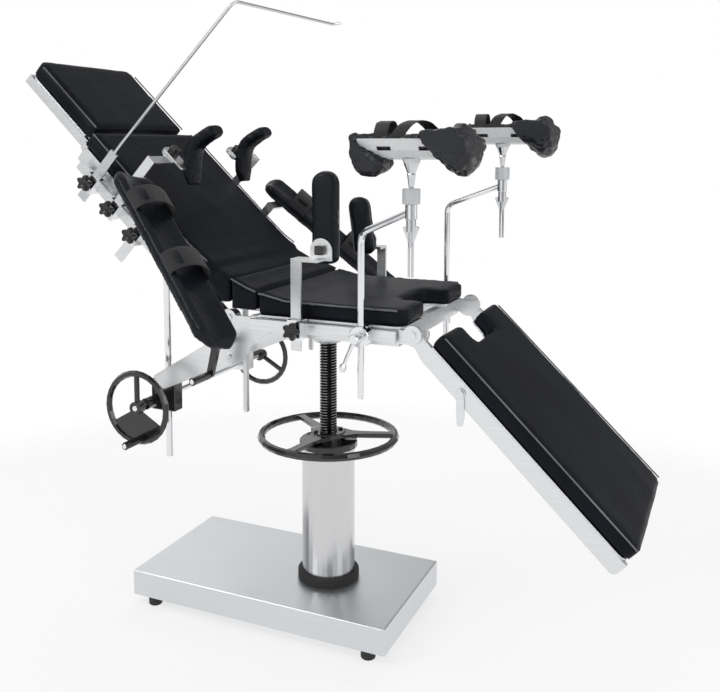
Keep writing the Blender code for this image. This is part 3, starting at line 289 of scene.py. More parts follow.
def banded(name, cuts, kinds):
    """One material for stacked bands; each kind is (colour, metalness, roughness), each cut a height."""
    made, tree, shader, where = material(name)
    split = tree.nodes.new("ShaderNodeSeparateXYZ")
    tree.links.new(where, split.inputs["Vector"])
    grain = noise_of(tree, where, 120.0, 3.0)
    tints = [ramp(tree, grain, [(0.3, tuple(c * 0.92 for c in tint)), (0.7, tint)]) for tint, _, _ in kinds]
    colour = tints[0]
    _, shine, rough = kinds[0]
    for at, tint, (_, metallic, roughness) in zip(cuts, tints[1:], kinds[1:]):
        above = maths(tree, "GREATER_THAN", split.outputs["Z"], at)
        colour = mixed(tree, above, colour, tint)
        shine = either(tree, above, shine, metallic)
        rough = either(tree, above, rough, roughness)
    tree.links.new(colour, shader.inputs["Base Color"])
    tree.links.new(shine, shader.inputs["Metallic"])
    tree.links.new(rough, shader.inputs["Roughness"])
    relief(tree, shader, [(grain, 0.00002)], 0.0006)
    return made


FEET_LOOK = ((0.02, 0.02, 0.02), 0.0, 0.6)
PLATE_LOOK = ((0.45, 0.46, 0.47), 1.0, 0.4)
STEEL_LOOK = ((0.66, 0.67, 0.69), 1.0, 0.16)
SHELL_LOOK = ((0.80, 0.81, 0.82), 0.0, 0.30)
BLOCK_LOOK = ((0.60, 0.62, 0.64), 0.15, 0.42)
FEET_AND_PLATE = banded("feet_and_plate", [0.0315], [FEET_LOOK, PLATE_LOOK])

# Knee troughs: tag, side, place of the post along the table, foot of the stem, and turn of the post
TROUGHS = (("near", -1.0, 0.224, 1.201, -23.0), ("far", 1.0, 0.258, 1.235, 0.0))


def trough_look(tag, foot):
    """White shell on a steel stem with a frosted block, chosen by height above the stem's foot."""
    return banded("trough_" + tag, [foot + 0.0195, foot + 0.0555, foot + 0.1130],
                  [STEEL_LOOK, BLOCK_LOOK, STEEL_LOOK, SHELL_LOOK])


def dress(look, *names):
    """Put a material on frame nodes."""
    for name in names:
        slots = NODES[name].data.materials
        for i in range(len(slots)):
            slots[i] = look
        if len(slots) == 0:
            slots.append(look)


dress(BASE, "base_cover")
dress(FEET_AND_PLATE, "base_chassis")
dress(COLUMN, "column_tube")
dress(RUBBER, "column_collar")
dress(ZINC, "column_bush")
dress(BAKELITE, "lift_handwheel", "side_wheel_near", "side_wheel_far")
dress(FRAME, "seat_frame", "back_frame", "head_frame", "leg_frame", "bracket_near", "bracket_far")
dress(STEEL, "bridge_frame", "screen_rod")
dress(CHROME, "back_rod", "wheel_shaft", "leg_lever_near", "screen_clamp")
dress(BAKELITE, "bridge_crank", "gearbox_near")
dress(KNOB, "screen_knob", "shoulder_knob_near", "arm_knob_near", "side_knob_near")
for tag, _, _, foot, _ in TROUGHS:
    dress(FRAME, "shoulder_bar_" + tag, "side_post_" + tag, "arm_bracket_" + tag, "leg_latch_" + tag)
    dress(CHROME, "shoulder_clamp_" + tag, "arm_clamp_" + tag, "side_clamp_" + tag, "leg_clamp_" + tag,
          "leg_post_" + tag)
    dress(trough_look(tag, foot), "leg_trough_" + tag)


# Mesh helpers
def publish(bm, name, look, smooth=True):
    """Finished mesh as an object with outward faces."""
    bmesh.ops.recalc_face_normals(bm, faces=bm.faces)
    if bm.calc_volume(signed=True) < 0.0:
        bmesh.ops.reverse_faces(bm, faces=bm.faces)
    mesh = bpy.data.meshes.new(name)
    bm.to_mesh(mesh)
    bm.free()
    mesh.materials.append(look)
    if smooth:
        mesh.shade_smooth()
        mesh.set_sharp_from_angle(angle=math.radians(42.0))
    made = bpy.data.objects.new(name, mesh)
    bpy.context.scene.collection.objects.link(made)
    return made


def skin(bm, rings, place=UPRIGHT):
    """Skin over matching rings, capped at both ends."""
    loops = [[bm.verts.new(place @ Vector(p)) for p in ring] for ring in rings]
    for a, b in zip(loops, loops[1:]):
        for k in range(len(a)):
            j = (k + 1) % len(a)
            bm.faces.new((a[k], a[j], b[j], b[k]))
    bm.faces.new(loops[0])
    bm.faces.new(loops[-1])


def loft(rings, name, look, place=UPRIGHT):
    """One capped skin as an object."""
    bm = bmesh.new()
    skin(bm, rings, place)
    return publish(bm, name, look)


def sweep(path, section, name, look, place=UPRIGHT, scales=None):
    """Carry a section along a path; its first coordinate stays close to the Y axis."""
    pts = [Vector(p) for p in path]
    side = Vector((0.0, 1.0, 0.0))
    rings = []
    for i, point in enumerate(pts):
        ahead = pts[min(i + 1, len(pts) - 1)] - point
        behind = point - pts[max(i - 1, 0)]
        tangent = (ahead.normalized() + behind.normalized()).normalized()
        side = (side - tangent * side.dot(tangent)).normalized()
        other = tangent.cross(side)
        scale = scales[i] if scales else 1.0
        rings.append([point + (side * a + other * b) * scale for a, b in section])
    return loft(rings, name, look, place)


def spline(points, count):
    """Smooth path through points."""
    pts = [Vector(p) for p in points]
    pts = [pts[0] * 2.0 - pts[1]] + pts + [pts[-1] * 2.0 - pts[-2]]
    spans = len(pts) - 3
    out = []
    for i in range(count):
        t = spans * i / (count - 1)
        k = min(int(t), spans - 1)
        u = t - k
        a, b, c, d = pts[k:k + 4]
        out.append(0.5 * (2.0 * b + (c - a) * u + (2.0 * a - 5.0 * b + 4.0 * c - d) * u * u
                          + (3.0 * b - a - 3.0 * c + d) * u * u * u))
    return out


def ellipse(a, b, power, count):
    """Rounded section; a power below one squares it off."""
    out = []
    for k in range(count):
        t = 2.0 * math.pi * (k + 0.5) / count
        out.append((a * math.copysign(abs(math.cos(t)) ** power, math.cos(t)),
                    b * math.copysign(abs(math.sin(t)) ** power, math.sin(t))))
    return out


def turned(profile, at, axis, sides):
    """Rings of a lathed piece; profile holds (radius, place along the axis), at the other two coordinates."""
    rings = []
    for radius, t in profile:
        ring = []
        for k in range(sides):
            angle = 2.0 * math.pi * k / sides
            u = radius * math.cos(angle)
            v = radius * math.sin(angle)
            if axis == "Y":
                ring.append((at[0] + u, t, at[1] + v))
            else:
                ring.append((at[0] + u, at[1] + v, t))
        rings.append(ring)
    return rings


def applied(made):
    """Bake the modifiers of an object into its mesh."""
    graph = bpy.context.evaluated_depsgraph_get()
    mesh = bpy.data.meshes.new_from_object(made.evaluated_get(graph))
    looks = list(made.data.materials)
    made.modifiers.clear()
    made.data = mesh
    mesh.materials.clear()
    for look in looks:
        mesh.materials.append(look)
    mesh.shade_smooth()
    return made


def voxelled(made, size, rounds):
    """Even mesh over a closed shape, with the steps of its voxels smoothed away."""
    step = made.modifiers.new("even", "REMESH")
    step.mode = "VOXEL"
    step.voxel_size = size
    step.use_smooth_shade = True
    applied(made)
    step = made.modifiers.new("relax", "SMOOTH")
    step.iterations = rounds
    step.factor = 0.5
    return applied(made)


def read(mesh, what):
    """Positions ("co") or normals ("normal") of a mesh's vertices, one row each."""
    rows = np.empty(len(mesh.vertices) * 3, np.float64)
    mesh.vertices.foreach_get(what, rows)
    return rows.reshape(-1, 3)


def write_back(made, co):
    """Store vertex positions."""
    made.data.vertices.foreach_set("co", co.astype(np.float32).ravel())
    made.data.update()


SWELL_FRAMES = 11


def inflated(made, cap):
    """Swell a cushion with cloth pressure; no point moves more than the cap."""
    scene = bpy.context.scene
    scene.frame_start = 1
    scene.frame_end = SWELL_FRAMES
    rest = read(made.data, "co")
    cloth = made.modifiers.new("swell", "CLOTH")
    rules = cloth.settings
    rules.quality = 3
    rules.mass = 0.25
    rules.tension_stiffness = 18.0
    rules.compression_stiffness = 10.0
    rules.shear_stiffness = 8.0
    rules.bending_stiffness = 0.25
    rules.use_pressure = True
    rules.uniform_pressure_force = 5.0
    rules.effector_weights.gravity = 0.0
    cloth.collision_settings.use_collision = False
    cloth.point_cache.frame_start = 1
    cloth.point_cache.frame_end = SWELL_FRAMES
    for number in range(1, SWELL_FRAMES + 1):
        scene.frame_set(number)
    posed = made.evaluated_get(bpy.context.evaluated_depsgraph_get())
    move = read(posed.to_mesh(), "co") - rest
    posed.to_mesh_clear()
    made.modifiers.clear()
    scene.frame_set(1)
    far = np.linalg.norm(move, axis=1)
    scale = np.minimum(1.0, cap / np.maximum(far, 1e-9))
    write_back(made, rest + move * scale[:, None])
    return made


def creased(made, depth, scale, seed):
    """Move the surface along its normals by layered noise, for wrinkles."""
    co = read(made.data, "co")
    push = np.empty(len(co))
    for i, p in enumerate(co):
        q = Vector((p[0] + seed, p[1], p[2])) * scale
        ridge = 1.0 - abs(noise.noise(q)) * 2.0
        push[i] = 0.6 * (ridge - 0.7) + 0.4 * noise.noise(q * 2.3)
    write_back(made, co + read(made.data, "normal") * (push * depth)[:, None])
    return made


def subdivided(made):
    """One round of smooth subdivision."""
    step = made.modifiers.new("fine", "SUBSURF")
    step.levels = 1
    step.render_levels = 1
    return applied(made)


def copy_of(name, look, fresh):
    """Own copy of a frame node's mesh, to be worked into a soft piece."""
    mesh = NODES[name].data.copy()
    mesh.materials.clear()
    mesh.materials.append(look)
    made = bpy.data.objects.new(fresh, mesh)
    bpy.context.scene.collection.objects.link(made)
    return made


def shrunk(made, inset):
    """Pull the surface in along its normals, to leave room for swelling."""
    write_back(made, read(made.data, "co") - read(made.data, "normal") * inset)
    return made


def held_in(made, node, spare):
    """Keep every point within the frame node's box plus a spare margin."""
    low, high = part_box(node)
    write_back(made, np.clip(read(made.data, "co"), np.array(low) - spare, np.array(high) + spare))
    return made


def block(name, look, centre, size, bevel, segments, place=UPRIGHT, upright_only=False):
    """Box with bevelled edges, or with only its upright edges bevelled."""
    bm = bmesh.new()
    bmesh.ops.create_cube(bm, size=1.0)
    for vert in bm.verts:
        vert.co = Vector([c + v * s for c, v, s in zip(centre, vert.co, size)])
    edges = bm.edges
    if upright_only:
        edges = [e for e in bm.edges if abs(e.verts[0].co.z - e.verts[1].co.z) > size[2] / 2.0]
    bmesh.ops.bevel(bm, geom=edges, offset=bevel, segments=segments, profile=0.5, affect="EDGES")
    bm.transform(place)
    return publish(bm, name, look)


def lobed_ring(radius, lobe, sides):
    """Points of a five-lobed circle in a plane, as (across, up)."""
    angles = [2.0 * math.pi * k / sides for k in range(sides)]
    reach = [radius + lobe * math.cos(5.0 * angle) for angle in angles]
    return [(r * math.cos(angle), r * math.sin(angle)) for r, angle in zip(reach, angles)]


# Bright end screws of the crank grips
WHEEL_CENTRE = (-0.414, 0.644)
GRIP_REACH = 0.083


def on_side_wheel(degrees):
    """Place of a grip on its side wheel, as (x, z)."""
    turn = math.radians(degrees)
    return WHEEL_CENTRE[0] + GRIP_REACH * math.cos(turn), WHEEL_CENTRE[1] + GRIP_REACH * math.sin(turn)


for name, body, slot, side, at, face in (
        ("grip_screw_near", "side_wheels", "side_wheel_near", -1.0, on_side_wheel(-77.0), 0.4220),
        ("grip_screw_far", "side_wheels", "side_wheel_far", 1.0, on_side_wheel(163.0), 0.4220),
        ("grip_screw_crank", "crank", "bridge_crank", -1.0, (-0.192, 0.755), 0.4050)):
    profile = [(0.0064, face - 0.0030), (0.0064, face + 0.0006),
               (0.0052, face + 0.0014), (0.0026, face + 0.0008)]
    rings = [[(x, side * y, z) for x, y, z in ring] for ring in turned(profile, at, "Y", 20)]
    screw = loft(rings, name, CHROME)
    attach(screw, body)


# Flat tapered spokes and hub plate of the big hand wheel, over their ribs
SPOKE_PLAN = [(0.0330, 0.0330), (0.0480, 0.0330), (0.0580, 0.0270), (0.0700, 0.0190), (0.0900, 0.0150),
              (0.1300, 0.0125), (0.1700, 0.0120), (0.1840, 0.0150), (0.1890, 0.0200)]
HUB_REACH = 0.05
HUB_HEIGHTS = (0.5240, 0.5330)
SPOKE_HEIGHTS = (0.5232, 0.5318)
SPOKE_EDGE = 0.0012
for number, turn in ((1, 22.0), (2, 142.0), (3, 262.0)):
    rings = []
    for reach, half in SPOKE_PLAN:
        low, high = SPOKE_HEIGHTS if reach > HUB_REACH else HUB_HEIGHTS
        rings.append([(reach, -half, low), (reach, half, low), (reach, half, high - SPOKE_EDGE),
                      (reach, half - SPOKE_EDGE, high), (reach, SPOKE_EDGE - half, high),
                      (reach, -half, high - SPOKE_EDGE)])
    spoke = loft(rings, "handwheel_spoke_%d" % number, BAKELITE, Matrix.Rotation(math.radians(turn), 4, "Z"))
    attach(spoke, "handwheel")


# Lobed clamping knobs with a dished face; each ring is (scale, distance out, share of the lobes)
KNOB_RADIUS = 0.0190
KNOB_LOBE = 0.0044
KNOB_RINGS = ((0.18, 0.3000, 0.0), (0.20, 0.2995, 0.0), (0.40, 0.3010, 0.0), (0.42, 0.3060, 0.0),
              (0.86, 0.3064, 1.0), (0.97, 0.3085, 1.0), (1.0, 0.3120, 1.0), (1.0, 0.3190, 1.0),
              (0.97, 0.3228, 1.0), (0.86, 0.3248, 1.0), (0.56, 0.3246, 0.4), (0.34, 0.3222, 0.0),
              (0.20, 0.3218, 0.0))
for node, body in (("screen_knob", "screen_screw"), ("shoulder_knob_near", "shoulder_screw_near"),
                   ("arm_knob_near", "arm_screw_near"), ("side_knob_near", "side_screw_near")):
    low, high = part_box(node)
    centre_x = (low[0] + high[0]) / 2.0
    centre_z = (low[2] + high[2]) / 2.0
    rings = [[(centre_x + a, -out, centre_z + b)
              for a, b in lobed_ring(scale * KNOB_RADIUS, scale * KNOB_LOBE * lobe, 60)]
             for scale, out, lobe in KNOB_RINGS]
    knob = loft(rings, "lobed_" + node, KNOB)
    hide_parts(node)
    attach(knob, body)


# Lifting screw with its real thread, keyway, flange and top plate
THREAD_PITCH = 0.0080
THREAD_FOOT = 0.2515
THREAD_TOP = 0.7985
THREAD_STEPS = 560
KEYWAY_FLOOR = 0.0205
KEYWAY_TURN = math.radians(-60.0)
KEYWAY_HALF = 0.20


def thread_radius(z, angle):
    """Radius of the screw's surface, with a trapezoid thread and a keyway."""
    away = (angle - KEYWAY_TURN + math.pi) % (2.0 * math.pi) - math.pi
    if abs(away) < KEYWAY_HALF:
        return KEYWAY_FLOOR
    turn = (z / THREAD_PITCH - angle / (2.0 * math.pi)) % 1.0
    valley = min(1.0, max(0.0, (abs(turn - 0.5) - 0.14) / 0.16))
    return THREAD_ROOT + THREAD_DEPTH * (1.0 - valley)


rings = []
for i in range(THREAD_STEPS + 1):
    z = THREAD_FOOT + (THREAD_TOP - THREAD_FOOT) * i / THREAD_STEPS
    ring = []
    for k in range(44):
        angle = 2.0 * math.pi * k / 44
        radius = thread_radius(z, angle)
        ring.append((radius * math.cos(angle), radius * math.sin(angle), z))
    rings.append(ring)
thread = loft(rings, "lift_thread", DARK_STEEL)
profile = [(0.0395, THREAD_TOP), (0.0405, 0.8000), (0.0440, 0.8050), (0.0450, 0.8065), (0.0450, 0.8460)]
flange = loft(turned(profile, (0.0, 0.0), "Z", 40), "lift_flange", STEEL)
plate = block("lift_plate", STEEL, (0.0, 0.0, 0.8532), (0.2, 0.2, 0.0148), 0.003, 3)
for piece in (thread, flange, plate):
    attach(piece, "table")
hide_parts("lift_screw")


# Mattress sections
def mattress(node, fresh, cap, seed, voxel, body=None, extra=None):
    """Soft section: even mesh over the plain solid and any extra, swollen by cloth pressure, creased."""
    made = copy_of(node, MATTRESS, fresh)
    if extra is not None:
        step = made.modifiers.new("join", "BOOLEAN")
        step.operation = "UNION"
        step.solver = "EXACT"
        step.object = extra
        applied(made)
        bpy.data.objects.remove(extra, do_unlink=True)
    voxelled(made, voxel, 3)
    shrunk(made, 0.0012)
    inflated(made, cap)
    creased(made, 0.0014, 5.0, seed)
    creased(made, 0.0004, 34.0, seed + 3.0)
    subdivided(made)
    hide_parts(node)
    if body is not None:
        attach(made, body)
    return made


mattress("seat_pad", "seat_cushion", 0.003, 1.0, 0.0065, "table")
mattress("bridge_pad", "bridge_cushion", 0.0022, 2.0, 0.0045, "bridge")
mattress("head_pad", "head_cushion", 0.003, 3.0, 0.008, "head")
mattress("leg_pad", "leg_cushion", 0.003, 4.0, 0.008, "leg")

# The back cushion gets the fold at its foot, which bends between the back and the table
FOLD = [(-0.2400, 0.9700), (-0.2080, 0.9400), (-0.1990, 0.9330), (-0.1712, 0.9330), (-0.1712, 0.9900),
        (-0.1760, 1.0020), (-0.2150, 1.0230)]
FOLD_HALF = 0.2515
bm = bmesh.new()
skin(bm, [[(x, y, z) for x, z in FOLD] for y in (-FOLD_HALF, FOLD_HALF)])
fold = publish(bm, "fold", MATTRESS, False)
back_cushion = mattress("back_pad", "back_cushion", 0.003, 5.0, 0.0065, None, fold)
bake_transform(back_cushion)


# Piping along the mattress edges, in a light grey that paints the highlight along each edge
ALONG = Vector((3.0, 0.0, 0.0))


def piping(name, points, place, body, radius=0.0021, wave=0.0):
    """Thin sewn cord along an edge; a wave makes it wander and swell."""
    path = [p + Vector((0.0, noise.noise(p * 70.0) * wave, noise.noise(p * 55.0 + ALONG) * wave))
            for p in spline(points, 90)]
    swell = 0.35 * min(1.0, wave * 1000.0)
    scales = [1.0 + swell * noise.noise(Vector((i * 0.37, 0.0, 0.0))) for i in range(len(path))]
    made = sweep(path, ellipse(radius, radius, 1.0, 8), name, PAINTED_HIGHLIGHT_CORD, place, scales)
    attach(made, body)


for tag, side in SIDES:
    y = side * 0.2487
    path = [(0.060, y, 0.0570), (0.25, y, 0.0572), (0.45, y, 0.0572), (0.695, y, 0.0570)]
    piping("leg_piping_" + tag, path, LEG, "leg")
    y = side * 0.2528
    path = [(-0.083, y, 0.9680), (-0.045, y, 0.9605), (0.005, y, 0.9530), (0.13, y, 0.9508),
            (0.305, y, 0.9508)]
    piping("seat_piping_" + tag, path, UPRIGHT, "table", 0.0024, 0.0016)
    path = [(-0.655, y, 0.0568), (-0.45, y, 0.0568), (-0.23, y, 0.0572), (-0.15, y, 0.0640)]
    piping("back_piping_" + tag, path, BACK, "back", 0.0020, 0.0006)
    y = side * 0.2522
    path = [(-0.1665, y, 1.0010), (-0.1300, y, 0.9850), (-0.0925, y, 0.9710)]
    piping("bridge_piping_" + tag, path, UPRIGHT, "bridge", 0.0022, 0.0010)
    y = side * 0.2147
    path = [(-0.683, y, 0.0568), (-0.80, y, 0.0568), (-0.940, y, 0.0568)]
    piping("head_piping_" + tag, path, BACK, "head")


def small_pad(made, name, node, body, cap, voxel, depth, scale, seed):
    """Stuffed pad from a plain form: even mesh, swollen and creased, in place of its node."""
    voxelled(made, voxel, 2)
    made.name = name
    inflated(made, cap)
    creased(made, depth, scale, seed)
    held_in(made, node, 0.004)
    subdivided(made)
    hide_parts(node)
    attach(made, body)


# Shoulder rests: curved pads on a swivel plate with its pin and nut
PAD_PATH = [(-0.368, 0.131), (-0.410, 0.170), (-0.437, 0.218), (-0.427, 0.268), (-0.413, 0.300)]
PAD_FROM_MIDDLE = 0.140
PIN_FROM_HINGE = -0.464
PIN_FROM_MIDDLE = 0.170
PAD_STEPS = 26
PIN_PROFILE = [(0.0105, 0.1405), (0.0105, 0.1450), (0.0060, 0.1455), (0.0060, 0.1562)]
NUT_RINGS = ((0.86, 0.1620), (1.0, 0.1640), (1.0, 0.1800), (0.86, 0.1830))
for tag, side in SIDES:
    node = "shoulder_pad_" + tag
    body = "shoulder_rest_" + tag
    path = spline([(x, side * PAD_FROM_MIDDLE, z) for x, z in PAD_PATH], PAD_STEPS)
    shares = [i / (PAD_STEPS - 1.0) for i in range(PAD_STEPS)]
    scales = [min(1.0, 0.66 + 2.6 * t, 0.74 + 3.0 * (1.0 - t)) for t in shares]
    pad = sweep(path, ellipse(0.0335, 0.0185, 0.72, 20), node + "_core", SMALL_PAD, BACK, scales)
    small_pad(pad, "shoulder_cushion_" + tag, node, body, 0.0030, 0.004, 0.0012, 48.0, 11.0 + side)
    x, y = PIN_FROM_HINGE, side * PIN_FROM_MIDDLE
    pin = loft(turned(PIN_PROFILE, (x, y), "Z", 24), "shoulder_pin_" + tag, CHROME, BACK)
    plate = block("shoulder_plate_" + tag, FRAME, (-0.445, side * 0.171, 0.1593), (0.090, 0.042, 0.0052),
                  0.012, 5, BACK, True)
    rings = [[(x + a, y + b, height) for a, b in lobed_ring(scale * 0.0148, scale * 0.0026, 40)]
             for scale, height in NUT_RINGS]
    nut = loft(rings, "shoulder_nut_" + tag, KNOB, BACK)
    for piece in (pin, plate, nut):
        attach(piece, body)


STRAP_STEPS = 30
STRAP_COLUMNS = ((0.0, 0.35), (0.04, 1.0), (0.12, 1.15), (0.5, 0.95), (0.88, 1.15), (0.96, 1.0), (1.0, 0.35))


def strap_band(name, place, foot, half, rise, start, width, thick, lean, ripple, seed):
    """Wide strap arching over a support across Y from a foot (y, z); its columns are (share, fullness)."""
    rings = []
    for i in range(STRAP_STEPS + 1):
        angle = math.pi * i / STRAP_STEPS
        wave = noise.noise(Vector((seed, i * 0.21, 0.0))) * ripple
        shift = start + lean * (i / STRAP_STEPS - 0.5)
        middle = thick / 2.0 - wave
        top = []
        bottom = []
        for share, fullness in STRAP_COLUMNS:
            for edge, way in ((top, 1.0), (bottom, -1.0)):
                inset = middle - way * (fullness - 0.5) * thick / 2.0
                edge.append((shift + width * share, foot[0] + (half - inset) * math.cos(angle),
                             foot[1] + (rise - inset) * math.sin(angle)))
        rings.append(top + bottom[::-1])
    return loft(rings, name, STRAP, place)


# Arm boards: gutter cushion with a round upper end, and two wide cuffs with a tab each
BOARD_THICK = 0.034
BOARD_HALF = 0.0615
BOARD_START = -0.093
BOARD_END = 0.499
BOARD_STEPS = 64
ROUND_FROM = -0.045
ROUND_LENGTH = 0.0485
TAPER_FROM = 0.463
GUTTER_HALF = 0.048
GUTTER_RADIUS = 0.1200
RIM_HEIGHT = 0.0335
CUFF_WIDTH = 0.064


def board_half(u):
    """Half width of an arm board at a place along it."""
    if u < ROUND_FROM:
        return 0.0165 + 0.045 * math.sqrt(max(0.0, 1.0 - ((ROUND_FROM - u) / ROUND_LENGTH) ** 2))
    return BOARD_HALF - max(0.0, u - TAPER_FROM) * 0.85


def board_ring(u):
    """Section of an arm board: its gutter from side to side, then its underside back."""
    half = board_half(u)
    from_end = min(u - BOARD_START + 0.0005, BOARD_END + 0.0005 - u)
    lift = 0.010 * math.exp(-from_end / 0.010)
    ring = []
    for k in range(28):
        v = half * (1.0 - 2.0 * k / 27.0)
        w = RIM_HEIGHT
        if abs(v) < GUTTER_HALF:
            w = min(w, BOARD_THICK + 0.1100 - math.sqrt(GUTTER_RADIUS ** 2 - v ** 2))
        w -= 0.006 * max(0.0, abs(v) / half - 0.90) / 0.10
        ring.append((u, v, w - lift))
    for k in range(14):
        ring.append((u, -half * (1.0 - 2.0 * k / 13.0) * 0.97, 0.0012 + lift * 0.5))
    return ring


for tag, side, station, reach, top, swing in (
        ("near", -1.0, 0.345, 0.394, 0.138, -19.5), ("far", 1.0, 0.30, 0.385, 0.115, 18.0)):
    node = "arm_board_" + tag
    body = "arm_rest_" + tag
    place = (BACK @ Matrix.Translation((-station, side * reach, top - BOARD_THICK))
             @ Matrix.Rotation(math.radians(swing), 4, "Z"))
    rings = [board_ring(BOARD_START + (BOARD_END - BOARD_START) * i / BOARD_STEPS)
             for i in range(BOARD_STEPS + 1)]
    board = loft(rings, node + "_core", SMALL_PAD, place)
    small_pad(board, "arm_cushion_" + tag, node, body, 0.0022, 0.0045, 0.0014, 30.0, 21.0 + side)
    for number, start in ((1, 0.008), (2, 0.228)):
        cuff = strap_band("arm_cuff_%s_%d" % (tag, number), place, (0.0, 0.0280), 0.0625, 0.0440, start,
                          CUFF_WIDTH, 0.0032, 0.0, 0.0012, number + side)
        tab = block("arm_cuff_tab_%s_%d" % (tag, number), SMALL_PAD, (start + 0.034, -0.0420, 0.0615),
                    (0.038, 0.018, 0.0030), 0.0012, 2, place)
        for piece in (cuff, tab):
            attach(piece, body)



# Side supports: stuffed pads with a round top and a seam, on a turning bolt with a square head
PAD_INNER = 0.2010
PAD_OUTER = 0.2335
PAD_LAYERS = 10
BOLT_SIDES = 24
BOLT_PROFILE = [(0.0120, 0.2320), (0.0120, 0.2402), (0.0058, 0.2403), (0.0058, 0.2450), (0.0130, 0.2452),
                (0.0130, 0.2580), (0.0110, 0.2600)]
BOLT_HEAD_FROM = 4


def pad_outline(centre, low, high, half):
    """Outline of a side pad in X and Z, rounder at its top than at its foot."""
    r = half - 0.002
    outline = []
    for k in range(60):
        c = math.cos(2.0 * math.pi * k / 60)
        s = math.sin(2.0 * math.pi * k / 60)
        if s >= 0.0:
            z = high - 0.002 - r + r * abs(s) ** 0.9
        else:
            z = low + 0.002 + r * 0.7 - r * 0.7 * abs(s) ** 0.7
        outline.append((centre + r * math.copysign(abs(c) ** 0.85, c), z))
    return outline


for tag, side, px, pz, low, high, half, lean in (
        ("near", -1.0, 0.095, 1.090, 1.050, 1.290, 0.0375, 0.0),
        ("far", 1.0, 0.018, 1.066, 1.022, 1.200, 0.0350, -8.0)):
    node = "side_pad_" + tag
    body = "side_rest_" + tag
    first, last = sorted((side * PAD_INNER, side * PAD_OUTER))
    place = (Matrix.Translation((px, 0.0, pz)) @ Matrix.Rotation(math.radians(lean), 4, "Y")
             @ Matrix.Translation((-px, 0.0, -pz)))
    outline = pad_outline(px, low, high, half)
    middle = (low + high) / 2.0
    rings = []
    for i in range(PAD_LAYERS + 1):
        share = i / PAD_LAYERS
        loss = 0.20 * abs(2.0 * share - 1.0) ** 5
        rings.append([(px + (x - px) * (1.0 - loss), first + (last - first) * share,
                       middle + (z - middle) * (1.0 - loss * 0.35)) for x, z in outline])
    pad = loft(rings, node + "_core", SMALL_PAD, place)
    small_pad(pad, "side_cushion_" + tag, node, body, 0.0030, 0.004, 0.0010, 36.0, 31.0 + side)
    rings = turned(BOLT_PROFILE, (px, pz), "Y", BOLT_SIDES)
    for ring in rings[BOLT_HEAD_FROM:]:
        for k, (x, y, z) in enumerate(ring):
            angle = 2.0 * math.pi * k / BOLT_SIDES
            grow = 0.93 / max(abs(math.cos(angle)), abs(math.sin(angle))) ** 0.8
            ring[k] = (px + (x - px) * grow, y, pz + (z - pz) * grow)
    rings = [[(x, side * y, z) for x, y, z in ring] for ring in rings]
    bolt = loft(rings, "side_bolt_" + tag, BAKELITE, place)
    # The seam cord's light grey is a painted highlight along the pad
    path = [(x, side * 0.2105, z) for x, z in outline + outline[:1]]
    seam = sweep(path, ellipse(0.0014, 0.0014, 1.0, 6), "side_seam_" + tag, PAINTED_HIGHLIGHT_CORD, place)
    for piece in (bolt, seam):
        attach(piece, body)



# Knee troughs: loose crinkled covers that wrap the ends of the shells, with webbing straps.
# Measures are taken from the shell's axis: x along it, y across, z up, angles from straight down.
SHORTER = 0.82
SHELL_RADIUS = 0.0763
SHELL_CLEAR = 0.0788
SHELL_ENDS = (-0.133, 0.143)
AXIS_ABOVE_STEM = 0.19726
POST_REACH = 0.165
POST_FROM_MIDDLE = 0.287
STEM_HALF = 0.026
STRAP_WIDTH = 0.034


def hung(x, radius, angle, drop=0.0):
    """Point at a radius and an angle (radians) below the shell's axis."""
    return x, radius * math.sin(angle), drop - radius * math.cos(angle)


def shell_edge(x):
    """Angle up to which the shell's cut-away end leaves the cover's underside free."""
    if not SHELL_ENDS[0] <= x <= SHELL_ENDS[1]:
        return 90.0
    height = 0.0803 - 0.40 * max(0.0, -0.060 - x, x - 0.070)
    return math.degrees(math.acos(min(1.0, height / SHELL_RADIUS))) - 3.0


def wrap(stations, inner):
    """Layer around the shell; each station is (x, drop, low angle, high angle, outer radius, belly)."""
    rings = []
    for x, drop, start, end, outer, belly in stations:
        free = shell_edge(x)
        turns = [start + (end - start) * k / 20.0 for k in range(21)]
        ring = []
        for turn in turns:
            angle = math.radians(turn)
            ring.append(hung(x, outer + belly * max(0.0, math.cos(angle)) ** 2, angle, drop))
        for turn in reversed(turns):
            ring.append(hung(x, inner if abs(turn) < free else SHELL_CLEAR, math.radians(turn), drop))
        rings.append(ring)
    return rings


def lining():
    """Padding that lines the shell, thinner at its ends and drooping over them."""
    path = spline([(-0.156, 0.0, -0.014), (-0.148, 0.0, -0.004), (-0.130, 0.0, 0.0), (0.0, 0.0, 0.0),
                   (0.140, 0.0, 0.0), (0.165, 0.0, -0.008), (0.186, 0.0, -0.018)], 44)
    rings = []
    for i, point in enumerate(path):
        share = i / 43.0
        beyond = max(0.0, min(1.0, max(-0.132 - point.x, point.x - 0.142) / 0.010))
        outer = 0.0708 + 0.0110 * beyond
        inner = 0.0540 - 0.020 * (0.5 + 0.5 * math.tanh((share - 0.80) * 16.0))
        middle = (outer + inner) / 2.0
        half = (outer - inner) / 2.0 * min(1.0, 0.45 + share * 16.0, 0.45 + (1.0 - share) * 14.0)
        span = math.radians(71.0 + 8.0 * beyond)
        shares = [k / 12.0 - 1.0 for k in range(25)]
        rings.append([hung(point.x, middle + half, span * w, point.z) for w in shares]
                     + [hung(point.x, middle - half, -span * w, point.z) for w in shares])
    return rings


def stuffing():
    """Rounded lump that fills the far end of the cover."""
    rings = []
    for i in range(13):
        t = math.pi * (i + 0.5) / 13.0
        rings.append([(0.146 - 0.041 * math.cos(t), y * math.sin(t), -0.045 + z * math.sin(t))
                      for y, z in ((0.067 * math.cos(q), 0.049 * math.sin(q))
                                   for q in (2.0 * math.pi * k / 24 for k in range(24)))])
    return rings


